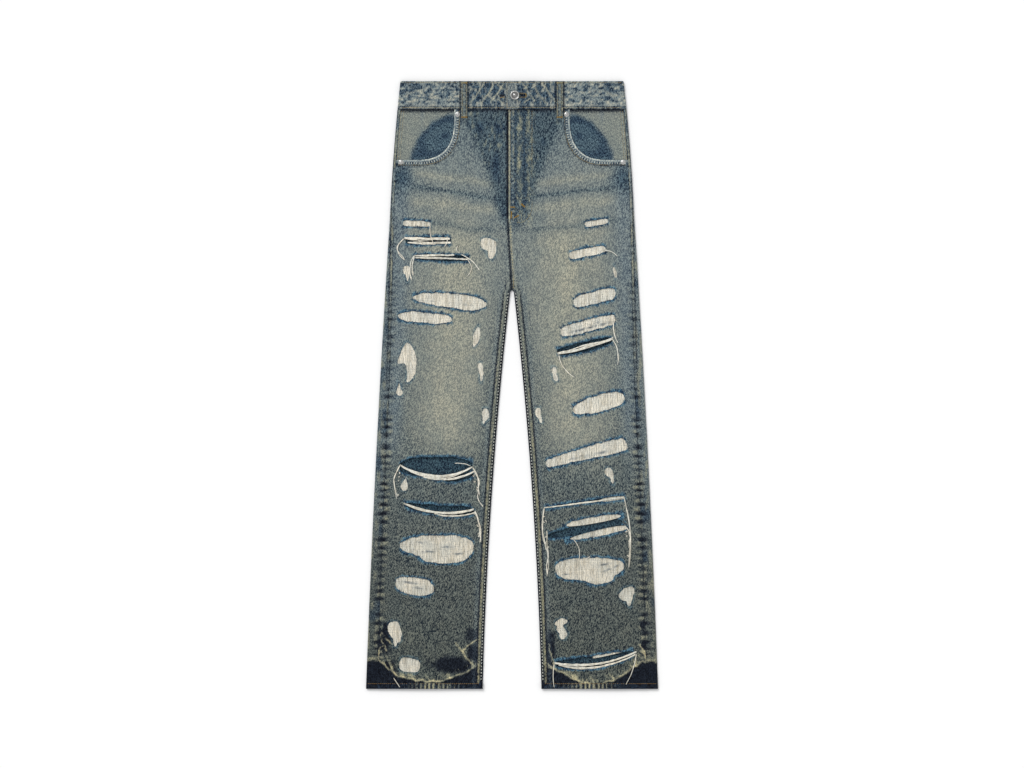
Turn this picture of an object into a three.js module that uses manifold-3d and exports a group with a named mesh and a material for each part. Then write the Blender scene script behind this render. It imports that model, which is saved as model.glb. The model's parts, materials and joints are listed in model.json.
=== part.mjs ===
// Ripped denim jeans laid flat, face up, on a table.
//
// Millimetres. +Z is up off the table, +Y runs from the hems to the waist, and the wearer's right
// leg lies on the -X side. The origin is on the table, under the middle of the garment.
//
// Every cloth piece is a closed wall. A back panel lies on the table, turns up round the outer
// fold and ends on top at the outseam, where the front panel goes on at the same level. The hip
// is a little thicker than the legs, because the pockets lie in it.

import * as THREE from 'three';
import { mergeVertices } from 'three/addons/utils/BufferGeometryUtils.js';
import Module from 'manifold-3d';

const wasm = await Module();
wasm.setup();

// ---- Driving dimensions ------------------------------------------------------------------------

const HALF_LENGTH = 547;
const CLOTH = 1.2;              // one layer of denim
const GAP = 0.3;                // between pieces that are sewn or lie on each other
const LAYER = CLOTH + GAP;

const HIP_LEVEL = 4.6;          // underside of the front panels at the hip
const LEG_LEVEL = 3.2;          // and along the edges of the legs
const HEM_LEVEL = 4.2;          // and at the hem, where the cloth is folded double
const LEG_CROWN = 1.4;          // how far the front stands up in the middle of a leg
const HEM_HEIGHT = 11;
const HEM_CLOTH = 2.0;

// Half widths of the whole outline and of the slot between the legs. The lines between them bow
// outwards a little.
const CROTCH_Y = 170;
const SEAT_Y = 300;
const HALF_WIDTH = { waist: 201, seat: 220, hem: 263 };
const HIP_BOW = 2;
const OUTSEAM_BOW = 3;
const SLOT = { crotch: 3, hem: 53, bow: 8 };

// The strip of back panel that shows on top outside the outseam widens between these heights.
const BACK_STRIP = { hip: 5.5, knee: 18, hem: 20 };
const STRIP_STARTS_Y = 440;
const STRIP_KNEE_Y = -60;

const WAISTBAND_BOTTOM = 496;
const WAISTBAND_CLOTH = 2.2;
const WAISTBAND_HEIGHT_Z = 6.6; // top of the flattened band
const LAP_END_X = -12;          // the wearer's left end lies on top and ends here
const UNDERLAP_END_X = 30;
const LAP_FLAT_X = 38;          // the lap is level up to here and is down again at the next value
const LAP_FOOT_X = 62;
const FLY_EDGE_X = -6;
const FLY_BOTTOM = 290;
const FLY_SEAM_X = 2;           // under the lap, the right front ends here and the fly shield goes on
const FLY_SHIELD_X = 28;

const BUTTON = { x: 5, y: 521, radius: 8.2, height: 2.8, shank: 2.2 };
const BUTTONHOLE = { from: 2, to: 25, halfHeight: 2.7 };

const LOOP_WIDTH = 12;
const LOOP_BOTTOM = 479;
const FRONT_LOOPS_X = { right: -86, left: 86 };
const BACK_LOOPS_X = { right: -105, centre: 0, left: 105 };

// The front pocket's mouth is a quarter of a superellipse, mirrored for the other side.
const SCOOP = { x: 173.5, y: 482, across: 69.8, down: 77, power: 2.6 };
const FACING_UNDER = 20;        // how far the facing runs on under the front panel
const RIVET = { radius: 4.4, height: 1.5 };
const RIVETS = { upper: [98, 487], lower: [200, 401] };

const YOKE_SEAM = { centre: 430, side: 455 };
const BACK_POCKET = { inner: 48, outer: 192, top: 398, corner: 262, point: 240, taper: 8 };

// The rips in the front panels: [name, centre X, centre Y, length, height, tilt in degrees].
// Those listed with yarns are still bridged by the cream cross yarns, a piece of their own.
const RIPS = [
  ['right_hip_bar', -171, 289, 50, 10, 0],
  ['right_hip_slit', -152, 261, 83, 20, 0, 'yarns'],
  ['right_thigh_slit', -128, 229, 102, 20, -2, 'yarns'],
  ['right_hip_nick', -189, 202, 9, 28, 0],
  ['right_crotch_nick', -44, 254, 20, 22, 0],
  ['right_thigh_lens', -114, 151, 131, 26, -5, 'yarns'],
  ['right_thigh_patch', -157, 121, 96, 20, -3, 'yarns'],
  ['right_thigh_kite', -65, 86, 13, 32, 0],
  ['right_thigh_side', -195, 40, 20, 68, 0, 'yarns'],
  ['right_thigh_drop', -202, -9, 10, 19, 0],
  ['right_inner_nick', -57, 23, 8, 32, 0],
  ['right_inner_blob', -49, -56, 11, 29, 0],
  ['right_knee_slit', -137, -149, 130, 34, 0, 'yarns'],
  ['right_knee_nick', -194, -180, 12, 22, 0],
  ['right_shin_slit', -130, -221, 126, 24, -4, 'yarns'],
  ['right_shin_patch', -137, -293, 132, 48, 2, 'yarns'],
  ['right_calf_patch', -175, -362, 69, 34, -6, 'yarns'],
  ['right_calf_side', -211, -448, 25, 42, 0],
  ['right_hem_patch', -185, -504, 37, 24, 0],
  ['left_hip_bar', 152, 293, 41, 14, 5],
  ['left_hip_slit', 137, 239, 58, 22, 10, 'yarns'],
  ['left_hip_nick', 184, 204, 5, 20, 0],
  ['left_thigh_capsule', 150, 157, 76, 26, 13, 'yarns'],
  ['left_thigh_patch', 140, 106, 97, 24, 13, 'yarns'],
  ['left_thigh_slit', 131, 68, 104, 20, 12, 'yarns'],
  ['left_thigh_nick', 76, 20, 11, 26, 0],
  ['left_knee_patch', 155, -34, 92, 30, 11, 'yarns'],
  ['left_inner_nick', 48, -52, 8, 26, 0],
  ['left_knee_band', 135, -124, 148, 24, 13, 'yarns'],
  ['left_knee_drop', 174, -160, 17, 28, 0],
  ['left_shin_cut', 130, -211, 138, 3.6, 8],
  ['left_shin_slit', 144, -256, 110, 24, 13, 'yarns'],
  ['left_shin_patch', 149, -335, 137, 44, 3, 'yarns'],
  ['left_calf_drop', 207, -378, 20, 28, 0],
  ['left_calf_nick', 88, -435, 25, 38, 0],
  ['left_hem_slit', 148, -491, 140, 24, 8, 'yarns'],
];
const RIP_POWER = 1.7;          // between a lens and an ellipse
const RIP_POINTS = 10;
const YARN_CLOTH = 1.0;

// ---- Small tools -------------------------------------------------------------------------------

// A smooth step from 0 at a to 1 at b.
function step(a, b, value) {
  const t = Math.min(1, Math.max(0, (value - a) / (b - a)));
  return t * t * (3 - 2 * t);
}

// From one size to another at a share t of the way, bowed out in the middle.
const bowed = (from, to, bow, t) => from + (to - from) * t + 4 * bow * t * (1 - t);

function outlineX(y) {
  if (y > SEAT_Y) {
    const t = (HALF_LENGTH - y) / (HALF_LENGTH - SEAT_Y);
    return bowed(HALF_WIDTH.waist, HALF_WIDTH.seat, HIP_BOW, t);
  }
  const t = (SEAT_Y - y) / (SEAT_Y + HALF_LENGTH);
  return bowed(HALF_WIDTH.seat, HALF_WIDTH.hem, OUTSEAM_BOW, t);
}

function outseamX(y) {
  const toKnee = (BACK_STRIP.knee - BACK_STRIP.hip) * step(STRIP_STARTS_Y, STRIP_KNEE_Y, y);
  const toHem = (BACK_STRIP.hem - BACK_STRIP.knee) * step(STRIP_KNEE_Y, -HALF_LENGTH, y);
  return outlineX(y) - BACK_STRIP.hip - toKnee - toHem;
}

function inseamX(y) {
  if (y > CROTCH_Y) return GAP / 2;
  const t = (CROTCH_Y - y) / (CROTCH_Y + HALF_LENGTH);
  return bowed(SLOT.crotch, SLOT.hem, SLOT.bow, t);
}

// How high the underside of the front panel lies along its edges.
function frontLevel(y) {
  const hip = step(120, 230, y);
  const hem = step(-500, -HALF_LENGTH + HEM_HEIGHT, y);
  return LEG_LEVEL + (HIP_LEVEL - LEG_LEVEL) * hip + (HEM_LEVEL - LEG_LEVEL) * hem;
}

// How far it stands up at a share u of the way across the leg.
function crown(u, y) {
  const leg = (1 - step(120, 230, y)) * (1 - 0.6 * step(-500, -HALF_LENGTH, y));
  return LEG_CROWN * leg * 4 * u * (1 - u);
}

const isHem = (y) => y < -HALF_LENGTH + HEM_HEIGHT + 0.5;
const clothAt = (y) => (isHem(y) ? HEM_CLOTH : CLOTH);

// A closed wall between two grids of points, outside and inside, of the same rows and columns.
function wall(outside, inside) {
  const rows = outside.length;
  const columns = outside[0].length;
  const at = (side, i, j) => (side * rows + i) * columns + j;
  const index = [];
  const quad = (a, b, c, d) => index.push(a, b, c, a, c, d);
  for (let i = 0; i < rows - 1; i++) {
    for (let j = 0; j < columns - 1; j++) {
      quad(at(0, i, j), at(0, i, j + 1), at(0, i + 1, j + 1), at(0, i + 1, j));
      quad(at(1, i, j), at(1, i + 1, j), at(1, i + 1, j + 1), at(1, i, j + 1));
    }
    quad(at(0, i, 0), at(0, i + 1, 0), at(1, i + 1, 0), at(1, i, 0));
    const end = columns - 1;
    quad(at(0, i, end), at(1, i, end), at(1, i + 1, end), at(0, i + 1, end));
  }
  for (let j = 0; j < columns - 1; j++) {
    quad(at(0, 0, j), at(1, 0, j), at(1, 0, j + 1), at(0, 0, j + 1));
    const end = rows - 1;
    quad(at(0, end, j), at(0, end, j + 1), at(1, end, j + 1), at(1, end, j));
  }
  const geometry = new THREE.BufferGeometry();
  const points = [...outside.flat(), ...inside.flat()].flat();
  geometry.setAttribute('position', new THREE.Float32BufferAttribute(points, 3));
  geometry.setIndex(index);
  return facingOut(geometry);
}

// The same geometry with its triangles turned, if they enclose a negative volume.
function facingOut(geometry) {
  const index = geometry.index.array;
  const corner = (k) => new THREE.Vector3().fromBufferAttribute(geometry.attributes.position, index[k]);
  let volume = 0;
  for (let k = 0; k < index.length; k += 3) {
    volume += corner(k).dot(corner(k + 1).cross(corner(k + 2)));
  }
  if (volume < 0) {
    for (let k = 0; k < index.length; k += 3) {
      [index[k + 1], index[k + 2]] = [index[k + 2], index[k + 1]];
    }
  }
  return geometry;
}

function solidOf(geometry) {
  const bare = geometry.clone();
  bare.deleteAttribute('normal');
  bare.deleteAttribute('uv');
  const merged = mergeVertices(bare, 1e-4);
  const mesh = new wasm.Mesh({
    numProp: 3,
    vertProperties: new Float32Array(merged.attributes.position.array),
    triVerts: new Uint32Array(merged.index.array),
  });
  return new wasm.Manifold(mesh);
}

function geometryOf(solid) {
  const mesh = solid.getMesh();
  const geometry = new THREE.BufferGeometry();
  geometry.setAttribute('position', new THREE.BufferAttribute(mesh.vertProperties, 3));
  geometry.setIndex(new THREE.BufferAttribute(mesh.triVerts, 1));
  return geometry;
}

function cutAway(geometry, cutters) {
  return geometryOf(cutters.reduce((solid, cutter) => solid.subtract(solidOf(cutter)), solidOf(geometry)));
}

// A flat outline of [x, y] points made into a plate from bottom to top.
function plate(outline, bottom, top) {
  const shape = new THREE.Shape(outline.map(([x, y]) => new THREE.Vector2(x, y)));
  const geometry = new THREE.ExtrudeGeometry(shape, { depth: top - bottom, bevelEnabled: false });
  return geometry.translate(0, 0, bottom);
}

function mirrored(outline, side) {
  return outline.map(([x, y]) => [side * x, y]);
}

// ---- The back ----------------------------------------------------------------------------------

// How far the back is lifted over the pockets and the loop ends sewn on its underside.
function backLift(x, y) {
  const { inner, outer, top, point } = BACK_POCKET;
  const onPocket = x > inner - 8 && x < outer + 12 && y < top + 5 && y > point - 3;
  const loopColumns = Object.values(BACK_LOOPS_X).map(Math.abs);
  const onLoop = y > LOOP_BOTTOM - 2 && loopColumns.some((loop) => Math.abs(x - loop) < LOOP_WIDTH);
  return onPocket || onLoop ? LAYER : 0;
}

// One ring of a back piece at height y: along the table from the middle outwards, round the outer
// fold, and back on top as far as the outseam. columns are shares of the flat run. Each place is
// given on the outside and on the inside of the cloth.
function backRing(y, columns, side) {
  const cloth = clothAt(y);
  const fold = (frontLevel(y) + CLOTH) / 2;
  const foldX = outlineX(y) - fold;
  const start = inseamX(y);
  const ring = columns.map((share) => {
    const x = start + (foldX - start) * share;
    const lift = backLift(x, y);
    return { outside: [side * x, y, lift], inside: [side * x, y, lift + cloth] };
  });
  const turns = 5;
  for (let k = 1; k <= turns; k++) {
    const angle = Math.PI * (k / turns - 0.5);
    const place = (radius) => [
      side * (foldX + radius * Math.cos(angle)), y, fold + radius * Math.sin(angle),
    ];
    ring.push({ outside: place(fold), inside: place(fold - cloth) });
  }
  const seam = side * (outseamX(y) + GAP / 2);
  ring.push({ outside: [seam, y, 2 * fold], inside: [seam, y, 2 * fold - cloth] });
  return ring;
}

function ringsToWall(rings) {
  return wall(rings.map((ring) => ring.map((p) => p.outside)), rings.map((ring) => ring.map((p) => p.inside)));
}

const yokeSeamY = (x) => YOKE_SEAM.centre + (YOKE_SEAM.side - YOKE_SEAM.centre) * Math.min(1, Math.abs(x) / 205);

// Moves a ring's points along Y onto the slanting yoke seam.
function ontoYokeSeam(ring, offset) {
  const move = ([x, , z]) => [x, yokeSeamY(x) + offset, z];
  return ring.map(({ outside, inside }) => ({ outside: move(outside), inside: move(inside) }));
}

function backPanel(side) {
  const { top, point } = BACK_POCKET;
  const heights = [top + 20, top + 3, 320, point - 2, point - 20, CROTCH_Y + 1, CROTCH_Y - 1, 145, 120, 60, -60];
  const legHeights = [-120, -210, -300, -360, -420, -500, -HALF_LENGTH + HEM_HEIGHT + 2];
  const hemHeights = [-HALF_LENGTH + HEM_HEIGHT, -HALF_LENGTH];
  const columns = [0, 0.128, 0.197, 0.55, 0.91, 0.98, 1];
  const topRing = ontoYokeSeam(backRing(YOKE_SEAM.side, columns, side), -GAP / 2);
  return ringsToWall([
    topRing,
    ...[...heights, ...legHeights, ...hemHeights].map((y) => backRing(y, columns, side)),
  ]);
}

function yoke(side) {
  const columns = [0, 0.05, 0.11, 0.4, 0.465, 0.56, 0.625, 0.8, 1];
  const bottomRing = ontoYokeSeam(backRing(YOKE_SEAM.side, columns, side), GAP / 2);
  const heights = [WAISTBAND_BOTTOM - GAP, LOOP_BOTTOM - 1, LOOP_BOTTOM - 14];
  return ringsToWall([...heights.map((y) => backRing(y, columns, side)), bottomRing]);
}

function backPocket(side) {
  const { inner, outer, top, corner, point, taper } = BACK_POCKET;
  const middle = (inner + outer) / 2;
  const outline = [
    [inner, top], [inner + taper, corner], [middle, point], [outer - taper, corner], [outer, top],
  ];
  return plate(mirrored(outline, side), 0, CLOTH);
}

// ---- The front ---------------------------------------------------------------------------------

// The fly: the wearer's left front lies over the right one, a layer higher.
function flyLift(x, y) {
  return LAYER * (1 - step(34, 56, x)) * step(FLY_BOTTOM - 28, FLY_BOTTOM - 4, y);
}

// The inner edge of a front panel. The left one ends at the fly's edge, the right one just under
// it, and below the fly both meet on a seam that comes to the middle at the crotch.
function frontInnerX(y, side) {
  if (y <= CROTCH_Y) return side * inseamX(y);
  const seam = FLY_EDGE_X * step(CROTCH_Y, FLY_BOTTOM, y);
  if (side > 0) return seam + GAP / 2;
  return y > FLY_BOTTOM + 8 ? FLY_SEAM_X : seam - GAP / 2;
}

// On the leg the front panel's inner edge comes down to the back panel at the inseam.
function inseamDrop(share, y) {
  const leg = 1 - step(CROTCH_Y - 40, CROTCH_Y + 40, y);
  const depth = frontLevel(y) - clothAt(y) - GAP;
  return depth * leg * (1 - step(0, 0.035, share)) * (isHem(y) ? 0 : 1);
}

function frontPanel(side) {
  const hipHeights = [WAISTBAND_BOTTOM - GAP, 440, 380, 330, FLY_BOTTOM + 10, FLY_BOTTOM + 6];
  const flyHeights = [FLY_BOTTOM - 4, FLY_BOTTOM - 28, 230, 200, CROTCH_Y + 1, CROTCH_Y - 1, 145, 120];
  const legHeights = [90, 60, 0, -60, -120, -165, -210, -255, -300, -360, -420, -470, -500];
  const hemHeights = [-520, -HALF_LENGTH + HEM_HEIGHT + 2, -HALF_LENGTH + HEM_HEIGHT, -HALF_LENGTH];
  const heights = [...hipHeights, ...flyHeights, ...legHeights, ...hemHeights];
  const shares = [0, 0.012, 0.035, 0.19, 0.3, 0.5, 0.7, 0.87, 1];
  const outside = [];
  const inside = [];
  for (const y of heights) {
    const inner = frontInnerX(y, side);
    const outer = side * (outseamX(y) - GAP / 2);
    const row = shares.map((share) => {
      const x = inner + (outer - inner) * share;
      const lift = side > 0 ? flyLift(x, y) : 0;
      return [x, y, frontLevel(y) + crown(share, y) + lift - inseamDrop(share, y)];
    });
    outside.push(row.map(([x, , z]) => [x, y, z + CLOTH]));
    inside.push(row.map(([x, , z]) => [x, y, z + CLOTH - clothAt(y)]));
  }
  const rips = RIPS.filter(([name]) => name.startsWith(side > 0 ? 'left' : 'right'));
  const cutters = rips.map((rip) => plate(ripOutline(rip, 0), -5, 20));
  return cutAway(wall(outside, inside), [...cutters, pocketMouthCutter(side)]);
}

// The strip that closes the fly from below, sewn to the right front under the lap.
function flyShield() {
  const from = FLY_SEAM_X + GAP;
  const bottom = FLY_BOTTOM + 12;
  const top = WAISTBAND_BOTTOM - GAP;
  const outline = [[from, bottom], [FLY_SHIELD_X, bottom + 20], [FLY_SHIELD_X, top], [from, top]];
  return plate(outline, HIP_LEVEL, HIP_LEVEL + CLOTH);
}

// The mouth's curve from the waistband down and out to the side, for the positive side. margin
// moves it away from the mouth, under the front panel.
function scoopCurve(margin) {
  const steps = 10;
  const curve = [[SCOOP.x - SCOOP.across - margin, WAISTBAND_BOTTOM - GAP]];
  for (let k = 0; k <= steps; k++) {
    const angle = (Math.PI / 2) * (k / steps);
    const across = (SCOOP.across + margin) * Math.cos(angle) ** (2 / SCOOP.power);
    const down = (SCOOP.down + margin) * Math.sin(angle) ** (2 / SCOOP.power);
    curve.push([SCOOP.x - across, SCOOP.y - down]);
  }
  return curve;
}

function pocketMouthCutter(side) {
  const curve = scoopCurve(0);
  curve[0][1] += 20;
  const beyond = 230;
  const outline = [...curve, [beyond, SCOOP.y - SCOOP.down], [beyond, curve[0][1]]];
  return plate(mirrored(outline, side), -5, 20);
}

function pocketFacing(side) {
  const curve = scoopCurve(FACING_UNDER);
  const bottom = SCOOP.y - SCOOP.down - FACING_UNDER;
  const outer = outseamX(WAISTBAND_BOTTOM) - 1;
  const outline = [...curve, [outer, bottom], [outer, WAISTBAND_BOTTOM - GAP]];
  return plate(mirrored(outline, side), HIP_LEVEL - LAYER, HIP_LEVEL - GAP);
}

// ---- Rips and the yarns that bridge them ---------------------------------------------------------

// A rip's outline: a superellipse between a lens and an ellipse, turned by its tilt and taken in
// by the inset.
function ripOutline([, centreX, centreY, length, height, tilt], inset) {
  const turn = THREE.MathUtils.degToRad(tilt);
  const outline = [];
  for (let k = 0; k < RIP_POINTS; k++) {
    const angle = (2 * Math.PI * k) / RIP_POINTS;
    const round = (value) => Math.sign(value) * Math.abs(value) ** (2 / RIP_POWER);
    const along = (length / 2 - inset) * round(Math.cos(angle));
    const across = (height / 2 - inset) * round(Math.sin(angle));
    outline.push([
      centreX + along * Math.cos(turn) - across * Math.sin(turn),
      centreY + along * Math.sin(turn) + across * Math.cos(turn),
    ]);
  }
  return outline;
}

function ripYarns(rip) {
  const [, x, y] = rip;
  const inner = inseamX(y);
  const share = (Math.abs(x) - inner) / (outseamX(y) - inner);
  const level = frontLevel(y) + crown(share, y);
  return plate(ripOutline(rip, 2 * GAP), level, level + YARN_CLOTH);
}

// ---- Waistband, loops, button and rivets -----------------------------------------------------------

// The band's course at height y as places on its middle: from the lap's end on top, out and
// round the left fold, along the table, round the right fold and back on top under the lap.
function waistbandRing(y) {
  const half = WAISTBAND_CLOTH / 2;
  const fold = WAISTBAND_HEIGHT_Z / 2;
  const top = WAISTBAND_HEIGHT_Z - half;
  const lap = top + WAISTBAND_CLOTH + GAP;
  const foldX = outlineX(y) - fold;
  const ring = [];
  const onTop = (x, z) => ring.push({ outside: [x, y, z + half], inside: [x, y, z - half] });
  const below = (x, lift) => ring.push({ outside: [x, y, lift], inside: [x, y, lift + WAISTBAND_CLOTH] });
  const turnRound = (side, from, to) => {
    const turns = 5;
    for (let k = 0; k <= turns; k++) {
      const angle = from + ((to - from) * k) / turns;
      const place = (radius) => [
        side * foldX + radius * Math.cos(angle), y, fold + radius * Math.sin(angle),
      ];
      ring.push({ outside: place(fold), inside: place(fold - WAISTBAND_CLOTH) });
    }
  };
  onTop(LAP_END_X, lap);
  onTop(LAP_FLAT_X, lap);
  onTop(LAP_FOOT_X, top);
  onTop(foldX / 2 + LAP_FOOT_X / 2, top);
  turnRound(1, Math.PI / 2, -Math.PI / 2);
  for (const loop of Object.values(BACK_LOOPS_X).sort((a, b) => b - a)) {
    const near = LOOP_WIDTH / 2 + 3;
    const far = near + 14;
    below(loop + far, 0);
    below(loop + near, LAYER);
    below(loop - near, LAYER);
    below(loop - far, 0);
  }
  turnRound(-1, -Math.PI / 2, -1.5 * Math.PI);
  onTop(-foldX / 2, top);
  onTop(UNDERLAP_END_X, top);
  return ring;
}

function waistband() {
  const heights = [HALF_LENGTH, 512, WAISTBAND_BOTTOM];
  const { from, to, halfHeight } = BUTTONHOLE;
  const slot = [];
  for (const [x, start] of [[to - halfHeight, -0.5], [from + halfHeight - 2.5, 0.5]]) {
    for (let k = 0; k <= 6; k++) {
      const angle = Math.PI * (start + k / 6);
      slot.push([x + halfHeight * Math.cos(angle), BUTTON.y + halfHeight * Math.sin(angle)]);
    }
  }
  const throughLap = plate(slot, WAISTBAND_HEIGHT_Z + GAP / 2, 20);
  return cutAway(ringsToWall(heights.map(waistbandRing)), [throughLap]);
}

// A front loop: a strap from the band's top edge down over the band onto the front panel.
function frontLoop(x) {
  const onBand = WAISTBAND_HEIGHT_Z + GAP;
  const onPanel = HIP_LEVEL + CLOTH + GAP;
  const course = [
    [HALF_LENGTH - 0.5, onBand],
    [WAISTBAND_BOTTOM - 2, onBand],
    [WAISTBAND_BOTTOM - 9, onPanel],
    [LOOP_BOTTOM, onPanel],
  ];
  const edges = [x - LOOP_WIDTH / 2, x + LOOP_WIDTH / 2];
  const face = (rise) => course.map(([y, z]) => edges.map((edge) => [edge, y, z + rise]));
  return wall(face(CLOTH), face(0));
}

function backLoop(x) {
  const half = LOOP_WIDTH / 2;
  const outline = [
    [x - half, LOOP_BOTTOM], [x + half, LOOP_BOTTOM], [x + half, HALF_LENGTH - 0.5], [x - half, HALF_LENGTH - 0.5],
  ];
  return plate(outline, 0, CLOTH);
}

// A turned piece standing on Z, from a profile of [radius, height] that starts and ends on the axis.
function turned(profile, x, y, z, segments) {
  const points = profile.map(([radius, height]) => new THREE.Vector2(radius, height));
  return new THREE.LatheGeometry(points, segments).rotateX(Math.PI / 2).translate(x, y, z);
}

function waistButton() {
  const { x, y, radius, height, shank } = BUTTON;
  const shankLength = WAISTBAND_CLOTH + 2 * GAP;
  const rim = radius - 1.6;
  const profile = [
    [0, 0], [shank, 0], [shank, shankLength], [radius - 0.5, shankLength], [radius, shankLength + 0.6],
    [radius, shankLength + height - 0.8], [radius - 0.7, shankLength + height],
    [rim, shankLength + height], [rim - 0.8, shankLength + height - 0.7], [0, shankLength + height - 0.3],
  ];
  return turned(profile, x, y, WAISTBAND_HEIGHT_Z + GAP, 20);
}

function rivet([x, y], side) {
  const { radius, height } = RIVET;
  const profile = [
    [0, 0], [radius, 0], [radius, height * 0.35], [radius * 0.75, height * 0.8],
    [radius * 0.4, height * 0.8], [radius * 0.3, height], [0, height],
  ];
  return turned(profile, side * x, y, HIP_LEVEL + CLOTH + GAP, 12);
}

// ---- The garment ---------------------------------------------------------------------------------

const cloth = (color) => new THREE.MeshStandardMaterial({ color, roughness: 0.92, metalness: 0 });
const metal = () => new THREE.MeshStandardMaterial({ color: 0xb9bcc0, roughness: 0.32, metalness: 1 });

const jeans = new THREE.Group();

function addPiece(name, geometry, material) {
  const mesh = new THREE.Mesh(geometry, material);
  mesh.name = name;
  jeans.add(mesh);
}

for (const [word, side] of [['right', -1], ['left', 1]]) {
  addPiece(`back_${word}`, backPanel(side), cloth(0x45525f));
  addPiece(`yoke_${word}`, yoke(side), cloth(0x3e4b5a));
  addPiece(`back_pocket_${word}`, backPocket(side), cloth(0x4c5c6c));
  addPiece(`front_${word}`, frontPanel(side), cloth(0x6d7474));
  addPiece(`pocket_facing_${word}`, pocketFacing(side), cloth(0x3a4656));
  addPiece(`front_loop_${word}`, frontLoop(FRONT_LOOPS_X[word]), cloth(0x566470));
  for (const [place, spot] of Object.entries(RIVETS)) {
    addPiece(`rivet_${place}_${word}`, rivet(spot, side), metal());
  }
}
addPiece('fly_shield', flyShield(), cloth(0x3e4b5a));
addPiece('waistband', waistband(), cloth(0x5a6770));
for (const [place, x] of Object.entries(BACK_LOOPS_X)) {
  addPiece(`back_loop_${place}`, backLoop(x), cloth(0x566470));
}
for (const rip of RIPS.filter((entry) => entry.includes('yarns'))) {
  addPiece(`yarns_${rip[0]}`, ripYarns(rip), cloth(0xddd8cc));
}
addPiece('waist_button', waistButton(), metal());

export default jeans;
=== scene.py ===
# %% [markdown]
# # Ripped jeans, laid flat
#
# A pair of washed denim jeans lies face up on a table. The cloth is a set of thin walls, each on
# the form of its CAD solid: panels, waistband, loops and pockets. Over them come the things that
# only show up close: the cut rips with their blue edges, the cream cross yarns that still bridge
# them, loose threads, stitches, and metal.
#
# Everything is worked out in millimetres and turned into metres when a mesh is made.

# %% Start
import json
import bpy
import numpy as np
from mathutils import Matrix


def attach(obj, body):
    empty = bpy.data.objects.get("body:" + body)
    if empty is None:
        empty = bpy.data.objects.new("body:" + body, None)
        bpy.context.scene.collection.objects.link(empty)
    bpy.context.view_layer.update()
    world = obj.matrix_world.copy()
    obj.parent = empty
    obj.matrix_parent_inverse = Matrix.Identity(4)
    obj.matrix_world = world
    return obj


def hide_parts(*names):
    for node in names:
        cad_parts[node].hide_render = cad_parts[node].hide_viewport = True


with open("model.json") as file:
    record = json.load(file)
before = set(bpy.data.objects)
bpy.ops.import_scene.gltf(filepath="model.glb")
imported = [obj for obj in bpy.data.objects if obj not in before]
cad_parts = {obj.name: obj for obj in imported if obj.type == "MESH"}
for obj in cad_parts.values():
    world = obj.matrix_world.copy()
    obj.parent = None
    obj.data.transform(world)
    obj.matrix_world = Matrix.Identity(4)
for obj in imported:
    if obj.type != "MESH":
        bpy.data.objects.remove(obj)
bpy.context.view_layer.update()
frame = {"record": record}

MM = 0.001

# %% [markdown]
# ## The main sizes
#
# The same driving sizes as the frame's: where the waist, seat, crotch and hems are, and how high
# the cloth lies. Half widths run between them on lines that bow out a little, as a cutter draws
# them with a hip curve.

# %% Sizes
HALF_LENGTH = 547.0
CLOTH = 1.2
GAP = 0.3
LAYER = CLOTH + GAP
HIP_LEVEL = 4.6
LEG_LEVEL = 3.2
HEM_LEVEL = 4.2
LEG_CROWN = 1.4
HEM_HEIGHT = 11.0
HEM_CLOTH = 2.0
HEM_FOLD_Y = HEM_HEIGHT - HALF_LENGTH
HEM_PUCKER = 7.7

CROTCH_Y = 170.0
SEAT_Y = 300.0
HALF_WAIST = 201.0
HALF_SEAT = 220.0
HALF_HEM = 263.0
HIP_BOW = 2.0
OUTSEAM_BOW = 3.0
SLOT_CROTCH = 3.0
SLOT_HEM = 53.0
SLOT_BOW = 8.0

# How wide the strip of back panel beside the outseam is: at the hip, and how much it gains.
STRIP_AT_HIP = 5.5
STRIP_GAIN_TO_KNEE = 12.5
STRIP_GAIN_TO_HEM = 2.0
STRIP_STARTS_Y = 440
KNEE_Y = -60

WAISTBAND_BOTTOM = 496.0
FLY_EDGE_X = -6.0
FLY_SEAM_X = 2.0
FLY_BOTTOM = 290.0
FLY_LAP_ENDS = (34, 56)

SIDES = {"right": -1, "left": 1}


def smooth(start, end, value):
    """A soft step: 0 at start, 1 at end, with no corner at either."""
    t = np.clip((value - start) / (end - start), 0, 1)
    return t * t * (3 - 2 * t)


def bowed(start, end, bow, t):
    """From start to end at a share t, standing out by bow in the middle."""
    return start + (end - start) * t + 4 * bow * t * (1 - t)


def outline_x(y):
    """Half width of the whole garment at height y."""
    above = bowed(HALF_WAIST, HALF_SEAT, HIP_BOW, (HALF_LENGTH - y) / (HALF_LENGTH - SEAT_Y))
    below = bowed(HALF_SEAT, HALF_HEM, OUTSEAM_BOW, (SEAT_Y - y) / (SEAT_Y + HALF_LENGTH))
    return np.where(y > SEAT_Y, above, below)


def outseam_x(y):
    """Where the front panel meets the strip of back panel that turns up round the side."""
    to_knee = STRIP_GAIN_TO_KNEE * smooth(STRIP_STARTS_Y, KNEE_Y, y)
    to_hem = STRIP_GAIN_TO_HEM * smooth(KNEE_Y, -HALF_LENGTH, y)
    return outline_x(y) - STRIP_AT_HIP - to_knee - to_hem


def inseam_x(y):
    """Inner edge of a leg, from the crotch to the hem."""
    t = np.clip((CROTCH_Y - y) / (CROTCH_Y + HALF_LENGTH), 0, 1)
    return np.where(y > CROTCH_Y, GAP / 2, bowed(SLOT_CROTCH, SLOT_HEM, SLOT_BOW, t))


def front_level(y):
    """Height of the underside of the front cloth along its edges."""
    hip = (HIP_LEVEL - LEG_LEVEL) * smooth(120, 230, y)
    hem = (HEM_LEVEL - LEG_LEVEL) * smooth(-500, HEM_FOLD_Y, y)
    return LEG_LEVEL + hip + hem


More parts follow.
